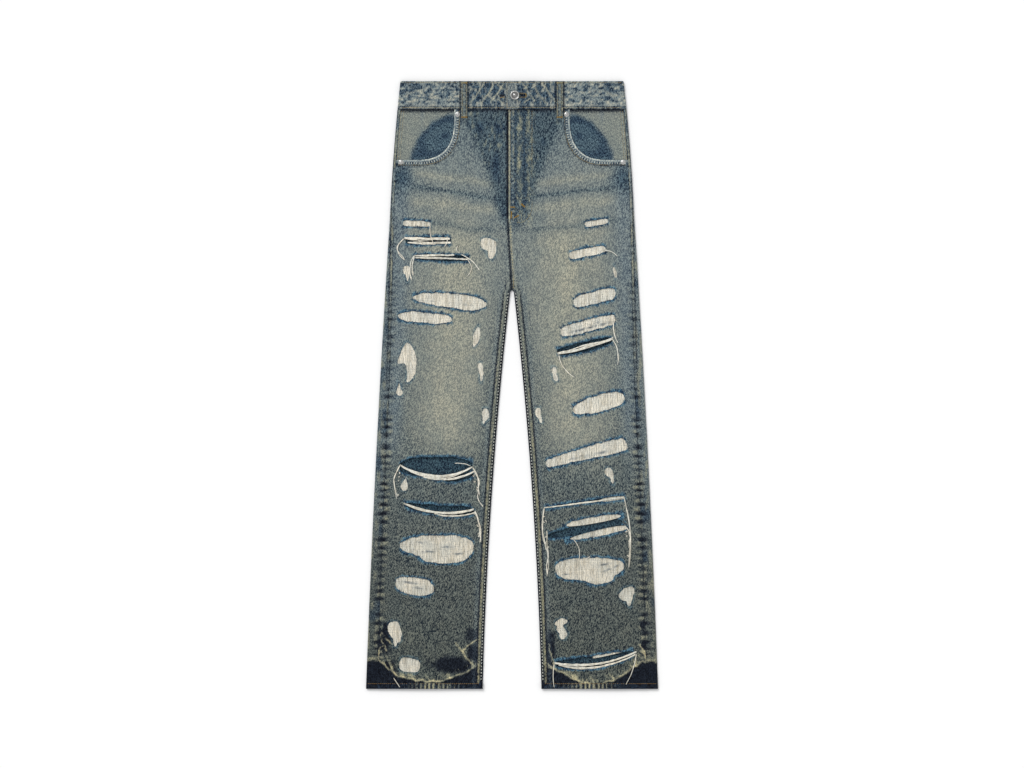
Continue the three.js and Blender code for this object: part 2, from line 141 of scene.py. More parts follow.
def crown(u, y):
    """How far the front stands up at a share u across the leg."""
    leg = (1 - smooth(120, 230, y)) * (1 - 0.6 * smooth(-500, -HALF_LENGTH, y))
    return LEG_CROWN * leg * 4 * u * (1 - u)


def leg_share(x, y):
    """0 at the inseam, 1 at the outseam."""
    inner = inseam_x(y)
    return np.clip((np.abs(x) - inner) / (outseam_x(y) - inner), 0, 1)


def fly_lift(x, y):
    """The left front lies over the right one at the fly, one layer higher."""
    return LAYER * (1 - smooth(*FLY_LAP_ENDS, x)) * smooth(FLY_BOTTOM - 28, FLY_BOTTOM - 4, y)


def front_top(x, y):
    """Height of the outer face of the front panels."""
    lift = np.where(x > FLY_EDGE_X, fly_lift(x, y), 0)
    return front_level(y) + crown(leg_share(x, y), y) + lift + CLOTH


# %% [markdown]
# ## Unevenness
#
# Cloth, dye and torn edges are never even. A smooth random field made of a few sine waves with
# seeded directions gives an unevenness of any size, and gives the same one each run.

# %% Uneven fields
def uneven(x, y, size, seed, waves=9):
    """Sum of sine waves about size millimetres long in random directions, from about -1 to 1."""
    rng = np.random.default_rng(seed)
    angle = rng.uniform(0, 2 * np.pi, waves)
    length = size * rng.uniform(0.7, 1.5, waves)
    phase = rng.uniform(0, 2 * np.pi, waves)
    total = np.zeros(np.broadcast(x, y).shape)
    for k in range(waves):
        along = x * np.cos(angle[k]) + y * np.sin(angle[k])
        total += np.sin(2 * np.pi * along / length[k] + phase[k])
    return total / np.sqrt(waves / 2) / 1.6


def mottled(x, y, width, height, seed):
    """Blotches about width by height: random values on a lattice with soft steps between them."""
    lattice = np.random.default_rng(seed).uniform(-1, 1, (64, 64))
    across = x / width + 500 + 0 * y
    down = y / height + 500 + 0 * x
    column = np.floor(across).astype(int)
    row = np.floor(down).astype(int)
    right = smooth(0, 1, across - column)
    below = smooth(0, 1, down - row)

    def value(add_column, add_row):
        return lattice[(row + add_row) % 64, (column + add_column) % 64]

    first = value(0, 0) * (1 - right) + value(1, 0) * right
    second = value(0, 1) * (1 - right) + value(1, 1) * right
    return first * (1 - below) + second * below


# %% [markdown]
# ## Meshes from arrays
#
# Every piece is a grid of points worked out as whole arrays. A sheet becomes cloth when it gets an
# inner face and a rim along each open edge. Blender's Solidify could do that as well, but here
# the thickness changes at the hems, and the rims of the rips need a colour of their own.

# %% Mesh tools
def grid_faces(rows, columns, closed=False):
    """Four-cornered faces between neighbours of a grid, joined round if closed."""
    index = np.arange(rows * columns).reshape(rows, columns)
    if closed:
        index = np.concatenate([index, index[:, :1]], axis=1)
    a, b = index[:-1, :-1], index[:-1, 1:]
    c, d = index[1:, 1:], index[1:, :-1]
    return np.stack([a, b, c, d], axis=-1).reshape(-1, 4)


def halved(faces):
    """Each four-cornered face as two triangles."""
    return np.concatenate([faces[:, [0, 1, 2]], faces[:, [0, 2, 3]]])


def cloth_wall(outside, inside, faces):
    """Outer sheet, inner sheet turned round, and a rim along each edge that one face has."""
    count = len(outside)
    starts = faces.ravel()
    ends = np.roll(faces, -1, axis=1).ravel()
    is_open = ~np.isin(starts * count + ends, ends * count + starts)
    a, b = starts[is_open], ends[is_open]
    rim = np.stack([b, a, a + count, b + count], axis=1)
    return np.concatenate([outside, inside]), [faces, faces[:, ::-1] + count, rim]


def cut_away(data, faces, keep):
    """Cuts triangles along the line where keep is zero and drops what is below it.

    data holds every point's values in columns. A cut edge gets a new point in the proportion of
    keep at its two ends, so the cut follows the line smoothly whatever the grid.
    """
    on = keep[faces] > 0
    count = on.sum(axis=1)

    def turned_to(rows, first):
        order = (first[:, None] + np.arange(3)) % 3
        return np.take_along_axis(faces[rows], order, axis=1)

    tip = turned_to(count == 1, np.argmax(on[count == 1], axis=1))
    lost = turned_to(count == 2, np.argmin(on[count == 2], axis=1))
    pairs = np.concatenate([tip[:, [0, 1]], tip[:, [0, 2]], lost[:, [0, 1]], lost[:, [0, 2]]])
    if len(pairs) == 0:
        return data, faces[count == 3]
    unique, place = np.unique(np.sort(pairs, axis=1), axis=0, return_inverse=True)
    place = place.reshape(-1) + len(data)
    low, high = keep[unique[:, 0]], keep[unique[:, 1]]
    share = (low / (low - high))[:, None]
    cut = data[unique[:, 0]] * (1 - share) + data[unique[:, 1]] * share
    tip_a, tip_b, lost_a, lost_b = np.split(place, np.cumsum([len(tip), len(tip), len(lost)]))
    new_faces = [
        faces[count == 3],
        np.stack([tip[:, 0], tip_a, tip_b], axis=1),
        np.stack([lost_a, lost[:, 1], lost[:, 2]], axis=1),
        np.stack([lost_a, lost[:, 2], lost_b], axis=1),
    ]
    return packed(np.concatenate([data, cut]), np.concatenate(new_faces))


def packed(data, faces):
    """Drops the points that no face uses."""
    used = np.unique(faces)
    place = np.zeros(len(data), dtype=int)
    place[used] = np.arange(len(used))
    return data[used], place[faces]


def places(x, y, z):
    """Arrays of X, Y and Z as one list of points."""
    return np.stack(np.broadcast_arrays(x, y, z), axis=-1).reshape(-1, 3)


def joined(parts):
    """Several (points, faces) lists as one, with their face numbers moved on."""
    points = []
    faces = []
    start = 0
    for part_points, part_faces in parts:
        points.append(part_points)
        faces += [f + start for f in part_faces]
        start += len(part_points)
    return np.concatenate(points), faces


triangles_made = {}
# The sharp angle of a thread, whose few sides are all shaded as one round.
ALL_ROUND = 3.0


def put(name, data):
    """An object of its data in the scene."""
    thing = bpy.data.objects.new(name, data)
    bpy.context.scene.collection.objects.link(thing)
    return thing


def add_piece(name, made, material, node=None, sharp_angle=0.9):
    """A mesh object from points in millimetres, arrays of faces and a dye at each point.

    node is the CAD node that the piece stands for, if it stands for one.
    """
    points, faces, dye = made
    mesh = bpy.data.meshes.new(name)
    corners = np.concatenate([f.ravel() for f in faces]).astype(np.int32)
    sizes = np.concatenate([np.full(len(f), f.shape[1]) for f in faces])
    mesh.vertices.add(len(points))
    mesh.vertices.foreach_set("co", (points * MM).astype(np.float32).ravel())
    mesh.loops.add(len(corners))
    mesh.loops.foreach_set("vertex_index", corners)
    mesh.polygons.add(len(sizes))
    starts = np.concatenate([[0], np.cumsum(sizes)[:-1]]).astype(np.int32)
    mesh.polygons.foreach_set("loop_start", starts)
    mesh.update(calc_edges=True)
    layer = mesh.color_attributes.new("dye", "FLOAT_COLOR", "POINT")
    rgba = np.concatenate([dye, np.ones((len(dye), 1))], axis=1)
    layer.data.foreach_set("color", rgba.astype(np.float32).ravel())
    mesh.polygons.foreach_set("use_smooth", np.ones(len(sizes), dtype=bool))
    mesh.set_sharp_from_angle(angle=sharp_angle)
    mesh.materials.append(material)
    piece = put(name, mesh)
    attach(piece, "root")
    if node is not None:
        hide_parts(node)
    triangles_made[name] = int((sizes - 2).sum())
    print(name, triangles_made[name], "triangles")
    return piece


# %% [markdown]
# ## Camera, table and light
#
# The garment is seen from straight above. A long lens keeps the sides from leaning. The table is
# plain and pale. A sun lamp with a wide angle stands for a big softbox far off at the upper left:
# it is as bright at one end of the table as at the other, and its soft shade shows the folds. The
# even light of the room does the rest.

# %% Camera and light
SENSOR = 36.0
LENS = 85.0
VIEW_WIDTH = 1.8432
VIEW_CENTRE_Y = 0.0018
VIEW_LEVEL = 0.005

camera_data = bpy.data.cameras.new("camera")
camera_data.sensor_width = SENSOR
camera_data.lens = LENS
camera_data.clip_end = 50
camera = put("camera", camera_data)
camera.location = (0, VIEW_CENTRE_Y, VIEW_WIDTH * LENS / SENSOR + VIEW_LEVEL)
bpy.context.scene.camera = camera

lamp_data = bpy.data.lights.new("soft lamp", "SUN")
lamp_data.angle = 0.5
lamp_data.energy = 1.75
lamp = put("soft lamp", lamp_data)
lamp.rotation_euler = (-0.62, -0.52, 0)

world = bpy.data.worlds.new("room")
world.use_nodes = True
room = world.node_tree.nodes["Background"]
room.inputs["Color"].default_value = (1, 1, 1, 1)
room.inputs["Strength"].default_value = 0.70
bpy.context.scene.world = world
bpy.context.scene.view_settings.view_transform = "Standard"

floor_mesh = bpy.data.meshes.new("table")
TABLE_REACH = 6.0
corners = [(TABLE_REACH * i, TABLE_REACH * j, 0) for i, j in [(-1, -1), (1, -1), (1, 1), (-1, 1)]]
floor_mesh.from_pydata(corners, [], [(0, 1, 2, 3)])
floor = put("table", floor_mesh)
floor_paint = bpy.data.materials.new("table paint")
floor_paint.use_nodes = True
floor_shader = floor_paint.node_tree.nodes["Principled BSDF"]
floor_shader.inputs["Base Color"].default_value = (0.93, 0.93, 0.93, 1)
floor_shader.inputs["Roughness"].default_value = 0.9
floor_shader.inputs["Specular IOR Level"].default_value = 0.1
floor_mesh.materials.append(floor_paint)


# %% [markdown]
# ## Colours
#
# Indigo denim that has been stone washed and tinted: tan grey on the thighs, slate below the
# knees, dark navy where the hem was folded during the wash. The colours are written as a dyer's
# card, from 0 to 255, and turned into light values last, so that mixing them looks even.

# %% Dye card
def card(red, green, blue):
    """One colour of the dye card."""
    return np.array([red, green, blue], dtype=float) / 255


TAN = card(146, 147, 135)
SLATE = card(84, 92, 93)
BLUE_GREY = card(100, 113, 121)
DARK_FLY = card(60, 76, 88)
NAVY = card(10, 17, 30)
DEEP_BLUE = card(34, 52, 72)
TORN_BLUE = card(62, 98, 122)
PALE_CREASE = card(164, 160, 132)
BRIGHT_CREASE = card(190, 180, 144)
WORN_EDGE = card(166, 170, 164)
# The inside of the cloth, which shows through the rips: its own blue, painted darker as the shade inside
# the leg.
SHADED_INNER_FACE = card(42, 62, 76)
CREAM = card(238, 233, 219)
SHADED_CREAM = card(176, 168, 150)
OCHRE = card(156, 130, 72)
RUST = card(144, 116, 58)
STONE = card(148, 146, 124)
SEAM_TAN = card(136, 132, 108)
LAP_EDGE = card(196, 190, 160)
SEAM_THREAD = card(176, 172, 146)
POCKET_SHADE = card(44, 64, 82)
MOUTH_EDGE = card(204, 208, 200)
FACING_GREY = card(123, 129, 124)
FACING_DARK = card(62, 82, 97)
BAND_GREY = card(114, 125, 128)
BAND_DARK = card(52, 70, 87)
BAND_PALE = card(160, 160, 148)
BAND_CREASE = card(176, 172, 150)
TAB_GREY = card(128, 134, 132)

# The ground colour down the length: heights, and the card's colour at each.
GROUND_HEIGHTS = [-547, -300, -150, 100, 380, 496]
GROUND_COLOURS = np.array([
    card(68, 74, 73), card(76, 83, 84), card(84, 93, 95),
    card(104, 113, 114), card(104, 115, 119), card(84, 98, 107),
])


def mixed(base, colour, amount):
    """base moved towards colour by the amount, from 0 to 1."""
    return base + (colour - base) * np.clip(amount, 0, 1)[..., None]


def washed(colour, layers):
    """Layers of (card colour, amount), each laid over the ones before."""
    for layer, amount in layers:
        colour = mixed(colour, layer, amount)
    return colour


def all_over(points, colour):
    """One colour at every point of a piece."""
    return np.zeros((len(points), 3)) + colour


def as_light(colour):
    """A card colour as the light value a shader needs."""
    colour = np.clip(colour, 0, 1)
    return np.where(colour <= 0.04045, colour / 12.92, ((colour + 0.055) / 1.055) ** 2.4)


def hump(value, centre, half):
    """A soft band round centre that has fallen off at about half on each side."""
    return np.exp(-((value - centre) / half) ** 2)


def ground(y):
    """The cloth's own colour at height y."""
    return np.stack([np.interp(y, GROUND_HEIGHTS, GROUND_COLOURS[:, k]) for k in range(3)], axis=-1)


# %% [markdown]
# ## The rips
#
# Each rip was rubbed through until only the cross yarns were left. Its outline is one lobe or a
# few, run together. A lobe is a superellipse: a long oval whose power sets it between a lens and a bar. It
# can tilt, bow along its length and be fatter at one end. Some rips have a bite of uncut cloth,
# which is a lobe too, taken away from the others. Blotchy unevenness then tears the edge. All
# sizes are in millimetres, and right means the wearer's right leg.

# %% Rip lobes
# name: lobes of (centre X, centre Y, length, height, tilt in degrees, power, bow, taper). Bow and
# taper are left out where both are 0.
RIPS = {
    "right_hip_bar": [(-171, 290, 50, 10, -2, 4.5, 0.5, -0.1)],
    "right_hip_slit": [(-151, 260, 82, 14, 0, 4.0, 0, -0.05)],
    "right_thigh_slit": [(-127, 229, 102, 11, -2, 3.0, 0, 0.05)],
    "right_hip_nick": [(-190, 207, 10, 16, 0, 3.0), (-188, 196, 6, 20, 0, 2.0)],
    "right_crotch_nick": [(-43, 254, 28, 22, 0, 2.2), (-36, 242, 14, 30, -14, 1.8)],
    "right_thigh_lens": [(-113, 151, 133, 26, -6, 2.2, 1, 0.2)],
    "right_thigh_patch": [(-157, 121, 98, 19, -4, 2.4, 0, -0.12)],
    "right_thigh_kite": [(-64, 87, 14, 36, -14, 1.3)],
    "right_thigh_side": [(-188, 40, 34, 70, 0, 1.7)],
    "right_thigh_drop": [(-202, -13, 11, 13, 0, 2.0), (-203, -5, 4, 16, 4, 1.7)],
    "right_inner_nick": [(-57, 31, 7, 18, 0, 2.4), (-55, 15, 5, 20, 0, 2.4)],
    "right_inner_blob": [(-47, -52, 11, 22, 4, 2.0), (-51, -62, 6, 16, 0, 1.9)],
    "right_knee_slit": [(-137, -147, 131, 36, 0, 2.6), (-104, -163, 70, 15, 4, 2.4, -2, 0)],
    "right_knee_nick": [(-194, -183, 11, 15, 0, 3.0), (-193, -174, 5, 17, -20, 1.8)],
    "right_shin_slit": [(-133, -219, 122, 16, -4, 2.2, -5, 0), (-98, -230, 60, 10, 2, 2.2, -2, 0)],
    "right_shin_patch": [(-135, -291, 133, 42, -2, 2.4, 0, 0.22), (-124, -303, 84, 34, 0, 3.2)],
    "right_calf_patch": [(-175, -362, 69, 32, -10, 2.3, 0, 0.1)],
    "right_calf_side": [(-212, -440, 24, 27, 10, 2.2), (-205, -450, 13, 24, 6, 2.0),
                        (-210, -462, 6, 20, 0, 2.0)],
    "right_hem_patch": [(-185, -504, 37, 26, -12, 2.5)],
    "left_hip_bar": [(152, 292, 44, 10, 10, 4.5)],
    "left_hip_slit": [(136, 239, 67, 15, 12, 4.0, 0, -0.05)],
    "left_hip_nick": [(185, 203, 5, 20, 8, 1.7)],
    "left_thigh_capsule": [(149, 157, 79, 22, 14, 3.2)],
    "left_thigh_patch": [(137, 107, 101, 21, 14, 4.5)],
    "left_thigh_slit": [(131, 70, 102, 17, 13, 3.0, -1, 0)],
    "left_thigh_nick": [(76, 26, 10, 13, 0, 2.2), (78, 14, 9, 14, 20, 2.0)],
    "left_knee_patch": [(156, -34, 97, 29, 15, 2.6, 1, 0.15)],
    "left_inner_nick": [(47, -49, 9, 16, 0, 2.4), (51, -61, 6, 15, 14, 2.0)],
    "left_knee_band": [(134, -124, 149, 21, 14, 5.0, 1, 0.28)],
    "left_knee_drop": [(174, -157, 15, 18, 10, 2.0), (180, -168, 8, 20, 8, 1.9)],
    "left_shin_cut": [(130, -211, 142, 3.6, 8, 3.0, 0, 0.1), (182, -205, 42, 6, 7, 2.5)],
    "left_shin_slit": [(132, -259, 136, 15, 11, 2.6), (147, -244, 102, 12, 10, 2.2),
                       (155, -266, 106, 12, 12, 2.2, 0, 0.25)],
    "left_shin_patch": [(140, -330, 124, 38, 3, 2.6, 0, -0.12), (156, -344, 54, 28, 4, 2.6)],
    "left_calf_drop": [(207, -376, 31, 21, 38, 2.1), (212, -387, 9, 25, -10, 1.8)],
    "left_calf_nick": [(88, -427, 25, 12, 16, 1.6), (89, -441, 17, 12, -24, 1.7),
                       (92, -450, 12, 16, -16, 1.7), (87, -435, 9, 16, 0, 2.0)],
    "left_hem_slit": [(148, -492, 142, 22, 8, 2.2, -6, 0)],
}
# Bites of uncut cloth, taken out of a rip.
BITES = {
    "right_thigh_side": [(-204, 17, 29, 42, 0, 8.0)],
    "right_crotch_nick": [(-54, 236, 20, 20, 0, 2.0)],
    "left_calf_drop": [(202, -395, 9, 12, 0, 2.0)],
    "left_knee_drop": [(167, -172, 14, 14, 0, 2.0)],
}
# Small worn spots, with hardly any torn blue edge.
SPOTS = ("nick", "kite", "side", "drop", "blob", "hem_patch")
# Over how many millimetres neighbouring lobes run together.
LOBE_JOIN = 1.5


def lobe_reach(x, y, lobe):
    """Distance out of one lobe in millimetres, negative inside it.

    The superellipse's own value grows at its own rate, so it is divided by its slope, which is
    measured half a millimetre away in each direction.
    """
    centre_x, centre_y, length, height, tilt, power, bow, taper = (*lobe, 0, 0)[:8]
    turn = np.radians(tilt)

    def value(px, py):
        along = ((px - centre_x) * np.cos(turn) + (py - centre_y) * np.sin(turn)) / (length / 2)
        across = -(px - centre_x) * np.sin(turn) + (py - centre_y) * np.cos(turn)
        across = across - bow * (1 - np.clip(along, -1, 1) ** 2)
        half = height / 2 * (1 + taper * np.clip(along, -1, 1))
        return (np.abs(along) ** power + np.abs(across / half) ** power + 1e-9) ** (1 / power) - 1

    here = value(x, y)
    slope = np.hypot(value(x + 0.5, y) - value(x - 0.5, y), value(x, y + 0.5) - value(x, y - 0.5))
    return here / np.maximum(slope, 0.6 / max(length, height))


def rip_reach(name, x, y):
    """Distance out of a rip: its lobes run together softly, less its bites, with its torn edge."""
    lobes_out = np.array([lobe_reach(x, y, lobe) for lobe in RIPS[name]])
    reach_out = -LOBE_JOIN * np.logaddexp.reduce(-lobes_out / LOBE_JOIN, axis=0)
    for bite in BITES.get(name, []):
        reach_out = np.maximum(reach_out, -lobe_reach(x, y, bite))
    thin = min(1.0, max(lobe[3] for lobe in RIPS[name]) / 20)
    torn = 1.5 * mottled(x, y, 9, 7, 12) + 0.8 * mottled(x, y, 3.6, 3.2, 13)
    return reach_out + thin * torn


def beside_lobe(x, y, lobe):
    """1 beside a lobe's long sides, falling to 0 past its two ends."""
    turn = np.radians(lobe[4])
    along = (x - lobe[0]) * np.cos(turn) + (y - lobe[1]) * np.sin(turn)
    return smooth(lobe[2] / 2 + 5, lobe[2] / 2 - 2, np.abs(along))


def rips_reach(side_word, x, y):
    """Distance out of the nearest rip of one leg, and how blue that rip's edge is there.

    The warp was cut above and below a rip, so its blue shows where the way out of the rip is up
    or down, and hardly at the two ends.
    """
    nearest = np.full(np.shape(x), 400.0)
    blue = np.zeros(np.shape(x))
    for name, lobes in RIPS.items():
        if not name.startswith(side_word):
            continue
        middle_x = np.mean([lobe[0] for lobe in lobes])
        middle_y = np.mean([lobe[1] for lobe in lobes])
        near = (np.abs(x - middle_x) < 120) & (np.abs(y - middle_y) < 60)
        px, py = x[near], y[near]
        own = rip_reach(name, px, py)
        up = np.abs(lobe_reach(px, py + 1, lobes[0]) - lobe_reach(px, py - 1, lobes[0])) / 2
        share = smooth(0.15, 0.6, up) * (0.3 if any(word in name for word in SPOTS) else 1.0)
        share = share * np.max([beside_lobe(px, py, lobe) for lobe in lobes], axis=0)
        closer = own < nearest[near]
        nearest[near] = np.where(closer, own, nearest[near])
        blue[near] = np.where(closer, share, blue[near])
    return nearest, blue


print(len(RIPS), "rips")

# %% [markdown]
# ## Pocket mouths
#
# The front pockets open in a scoop, a quarter of a superellipse whose corner is up at the side.

# %% Pocket mouth
SCOOP_X = 173.5
SCOOP_Y = 482.0
SCOOP_ACROSS = 69.8
SCOOP_DOWN = 77.0
SCOOP_POWER = 2.6


def scoop_reach(x, y):
    """Distance out of the pocket's mouth on either side, negative in the mouth."""
    across = np.maximum(SCOOP_X - np.abs(x), 0) / SCOOP_ACROSS
    down = np.maximum(SCOOP_Y - y, 0) / SCOOP_DOWN
    value = (across ** SCOOP_POWER + down ** SCOOP_POWER + 1e-9) ** (1 / SCOOP_POWER)
    return (value - 1) * (SCOOP_ACROSS + SCOOP_DOWN) / 2


# %% [markdown]
# ## How the front was washed
#
# The finish is laid down in the order a laundry does it: the ground colour, the faded thigh, the
# whiskers where the hip creased, the dark fly and wedges, the hem that stayed folded, and last the
# torn blue edges, which were protected by their own nap. Each is a soft mask worked out from the
# place on the panel. With the fly goes a painted shadow beside the edge of its lap.

# %% Wash of the front
def near_line(x, y, route, half):
    """1 on a route of straight stretches through points, falling off at half to each side."""
    best = np.full(np.shape(x), 1e9)
    for (ax, ay), (bx, by) in zip(route[:-1], route[1:]):
        dx, dy = bx - ax, by - ay
        t = np.clip(((x - ax) * dx + (y - ay) * dy) / (dx * dx + dy * dy), 0, 1)
        best = np.minimum(best, np.hypot(x - ax - t * dx, y - ay - t * dy))
    return hump(best, 0, half)


# Height, half width, colour and strength of each whisker.
WHISKERS = [
    (369, 8, TAN, 0.6), (323, 10, TAN, 0.65), (345, 4.5, DARK_FLY, 0.6), (284, 5, DARK_FLY, 0.4),
    (262, 6, TAN, 0.3),
]


def outseam_ropes(x, y):
    """Dark and pale spots along the outseam where its layers roped in the wash.

    Along the seam they come about every 14 mm, uneven in place and strength. Across it they are
    ovals that fall off within a few millimetres on both sides.
    """
    beat = np.sin(2 * np.pi * (y / 14 + 0.45 * mottled(0 * x, y, 50, 42, 71)))
    strength = np.clip(0.75 + 0.65 * mottled(0 * x, y, 50, 20, 72), 0, 1.3)
    strength = strength * (0.22 + 0.30 * smooth(230, 60, y) + 0.48 * smooth(60, -160, y))
    off = np.abs(x) - outseam_x(y) + 2.5 * mottled(x, y, 10, 9, 74)
    dark = np.clip(1.7 * beat + 0.3, 0, 1) * strength * hump(off, 1.5, 8.0)
    pale = np.clip(-1.5 * beat, 0, 1) * strength * hump(off, -5.0, 5.0)
    return dark, pale


def fly_wash(x, y, side, colour):
    """The dark front between the pockets, narrowing towards the crotch, with its pale streaks, and on the
    right front a painted shadow beside the lap's edge.
    """
    half = np.interp(y, [290, 350, 423, 490], [20, 36, 60, 92])
    dark = smooth(half + 12, half - 10, np.abs(x - 4)) * smooth(262, 325, y)
    streaks = smooth(0.1, 0.8, mottled(x, y, 2.6, 8, 44)) * smooth(-0.5, 0.4, mottled(x, y, 24, 40, 45))
    fly_marks = smooth(0.1, 0.7, mottled(x, y, 2.4, 6, 47)) * smooth(-4, 2, x) * smooth(46, 30, x)
    ragged = smooth(-0.1, 0.6, mottled(x, y, 5, 11, 46)) * smooth(330, 390, y)
    beat = 0.5 + 0.5 * np.sin(2 * np.pi * y / 8.6)
    beads = 0.45 + 0.55 * np.sin(2 * np.pi * y / 5.6)
    zone = smooth(286, 300, y)
    from_centre = x - FLY_EDGE_X * smooth(CROTCH_Y, FLY_BOTTOM, y)
    below_fly = (y < 292) * (y > CROTCH_Y)
    lap = [
        (LAP_EDGE, 0.9 * hump(x, FLY_EDGE_X + 0.6, 1.4) * zone),
        (WORN_EDGE, 0.75 * hump(x, 1.5, 2.2) * beat ** 4 * zone),
        (PALE_CREASE, 0.75 * ragged * (hump(x, 13, 3.4) + 0.7 * hump(x, 30, 1.6))),
        (DEEP_BLUE, 0.7 * hump(x, 22, 4.5) * smooth(300, 330, y)),
        (DEEP_BLUE, 0.6 * hump(x, 6.5, 2.4) * zone),
    ]
    # On the right front: the shadow that the lap casts beside its edge, painted as a navy line.
    lap_shadow = [(NAVY, 0.95 * hump(x, FLY_EDGE_X - 2.0, 2.4) * zone)]
    return washed(colour, [
        (DARK_FLY, 0.9 * dark),
        (DEEP_BLUE, 0.75 * dark * smooth(0.1, 0.9, mottled(x, y, 14, 22, 43))),
        (STONE, 0.55 * dark * streaks),
        (PALE_CREASE, 0.6 * fly_marks * smooth(275, 300, y)),
        (NAVY, 0.75 * hump(y, WAISTBAND_BOTTOM, 4) * (np.abs(x) < 100)),
        *(lap if side > 0 else lap_shadow),
        (NAVY, 0.85 * hump(from_centre, -1.0, 2.0) * below_fly),
        (SEAM_THREAD, 0.9 * hump(from_centre, 3.6, 2.4) * beads * below_fly),
    ])


def front_dye(x, y, side, word):
    """The washed colour of a front panel at each point."""
    u = leg_share(x, y)
    across = np.abs(x)
    blot = mottled(x, y, 34, 60, 21 + side)
    thigh = hump(u, 0.46, 0.33) * smooth(340, 240, y) * (1 - smooth(-60, -190, y))
    whisker_y = y - 0.13 * (across - 90) + 4 * mottled(x, y, 40, 30, 31)
    window = smooth(16, 45, across) * (1 - smooth(165, 200, across))
    colour = washed(ground(y), [
        (TAN, (0.92 + 0.14 * blot) * thigh),
        (TAN, 0.36 * hump(across, 130, 70) * hump(y, 330, 110)),
        (BLUE_GREY, 0.75 * smooth(0.8, 0.97, u) * (1 - smooth(-60, -200, y))),
        (SLATE, 0.3 * smooth(0.2, 0.05, u) * (1 - smooth(120, 200, y))),
        *[(tone, amount * hump(whisker_y, at, half) * window) for at, half, tone, amount in WHISKERS],
    ])
    out = scoop_reach(x, y)
    beside = (across > SCOOP_X - SCOOP_ACROSS - 14) & (y > SCOOP_Y - SCOOP_DOWN - 16)
    dark, pale = outseam_ropes(x, y)
    colour = washed(fly_wash(x, y, side, colour), [
        (BLUE_GREY, 0.6 * beside * smooth(9, 7, out)),
        (POCKET_SHADE, 0.85 * hump(across, 204, 26) * hump(y, 372, 24)),
        (NAVY, 0.45 * beside * hump(out, 9.6, 1.5)),
        (DEEP_BLUE, 0.5 * beside * hump(out, 5.4, 2.4)),
        (MOUTH_EDGE, 0.95 * beside * hump(out, 0.6, 1.5)),
        (STONE, 0.6 * pale),
        (NAVY, dark),
    ])
    return hem_dye(x, y, colour, word, u)


# %% [markdown]
# The hems stayed folded in the wash, so a zone at the foot of each leg is still navy. Its border
# is a pale crease that swings down to the hem and up again, with worn tufts above it. The border,
# the small creases and the soft navy places are each given as a few points.

# %% Wash of the hems
HEM_BORDERS = {
    "right": [(-265, -495), (-243, -495), (-233, -501), (-220, -514), (-202, -525), (-172, -532),
              (-145, -534), (-120, -531), (-96, -523), (-79, -515), (-66, -509), (-50, -507)],
    "left": [(50, -502), (61, -504), (75, -510), (93, -520), (118, -533), (150, -541), (181, -533),
             (201, -520), (221, -507), (234, -500), (266, -497)],
}
# Soft navy places: centre X and Y, half width, half height, strength.
NAVY_PLACES = {
    "right": [(-223, -506, 13, 11, 1.0), (-108, -503, 38, 15, 1.0), (-68, -483, 11, 20, 1.0),
              (-72, -452, 14, 12, 0.7), (-229, -458, 13, 26, 1.0), (-224, -438, 11, 10, 0.8)],
    "left": [(70, -474, 9, 27, 1.0), (72, -504, 8, 12, 0.9), (238, -468, 5, 7, 1.0),
             (236, -432, 5, 8, 0.9), (224, -516, 16, 10, 0.8)],
}
# Pale creases, each a route of points.
CREASES = {
    "right": [
        [(-61, -457), (-84, -472), (-89, -479), (-85, -488), (-66, -508)],
        [(-101, -464), (-92, -476), (-84, -483)],
        [(-235, -446), (-226, -458), (-215, -466)],
        [(-237, -449), (-233, -462), (-226, -478)],
        [(-255, -494), (-246, -470)],
        [(-243, -495), (-238, -474), (-233, -470)],
    ],
    "left": [
        [(66, -466), (69, -482), (77, -500), (76, -508)],
        [(60, -494), (66, -508), (74, -511)],
        [(98, -514), (110, -526), (120, -534)],
        [(199, -521), (212, -512), (224, -504)],
        [(229, -468), (240, -484), (246, -494)],
        [(232, -480), (244, -490), (258, -496)],
    ],
}


def hem_border(x, y, word):
    """Height of the navy zone's border, a little ragged."""
    route = np.array(HEM_BORDERS[word], dtype=float)
    return np.interp(x, route[:, 0], route[:, 1]) + 2.0 * mottled(x, 0 * y, 9, 9, 51)


def hem_dye(x, y, colour, word, u):
    """The navy zone that was folded away during the wash, with its pale tufted border."""
    border = hem_border(x, y, word)
    tuft = smooth(0.0, 0.6, mottled(x + 0.4 * y, y, 2.3, 9, 54))
    ragged = 0.35 * mottled(x, y, 6, 9, 55)
    for centre_x, centre_y, half_x, half_y, strength in NAVY_PLACES[word]:
        distance = np.hypot((x - centre_x) / half_x, (y - centre_y) / half_y) + ragged
        colour = mixed(colour, NAVY, 0.92 * strength * smooth(1.35, 0.65, distance))
    above = smooth(border + 30, border + 4, y) * smooth(-455, -480, y)
    worn = 0.72 + 0.5 * mottled(x, y, 7, 7, 59)
    colour = washed(colour, [
        (PALE_CREASE, 0.8 * tuft * hump(y, border + 6, 7)),
        (PALE_CREASE, 0.6 * tuft * above * smooth(0.78, 0.92, u)),
        (NAVY, 0.97 * smooth(border + 0.5, border - 3, y)),
        (BRIGHT_CREASE, worn * hump(y, border + 1.2, 0.9 + 0.7 * worn)),
    ])
    shaken_x = x + 1.5 * mottled(x, y, 7, 7, 56)
    for crease in CREASES[word]:
        colour = mixed(colour, BRIGHT_CREASE, worn * near_line(shaken_x, y, crease, 1.3))
    beat = 0.5 + 0.5 * np.sin(2 * np.pi * (np.abs(x) / HEM_PUCKER + 0.25 * mottled(x, 0 * y, 12, 12, 57)))
    folded = washed(NAVY + 0 * colour, [
        (DEEP_BLUE, 0.3 + 0.3 * mottled(x, y, 6, 6, 58)),
        (PALE_CREASE, 1.1 * hump(u, 0.46, 0.20) * beat ** 2),
    ])
    return np.where((y < HEM_FOLD_Y)[..., None], folded, colour)


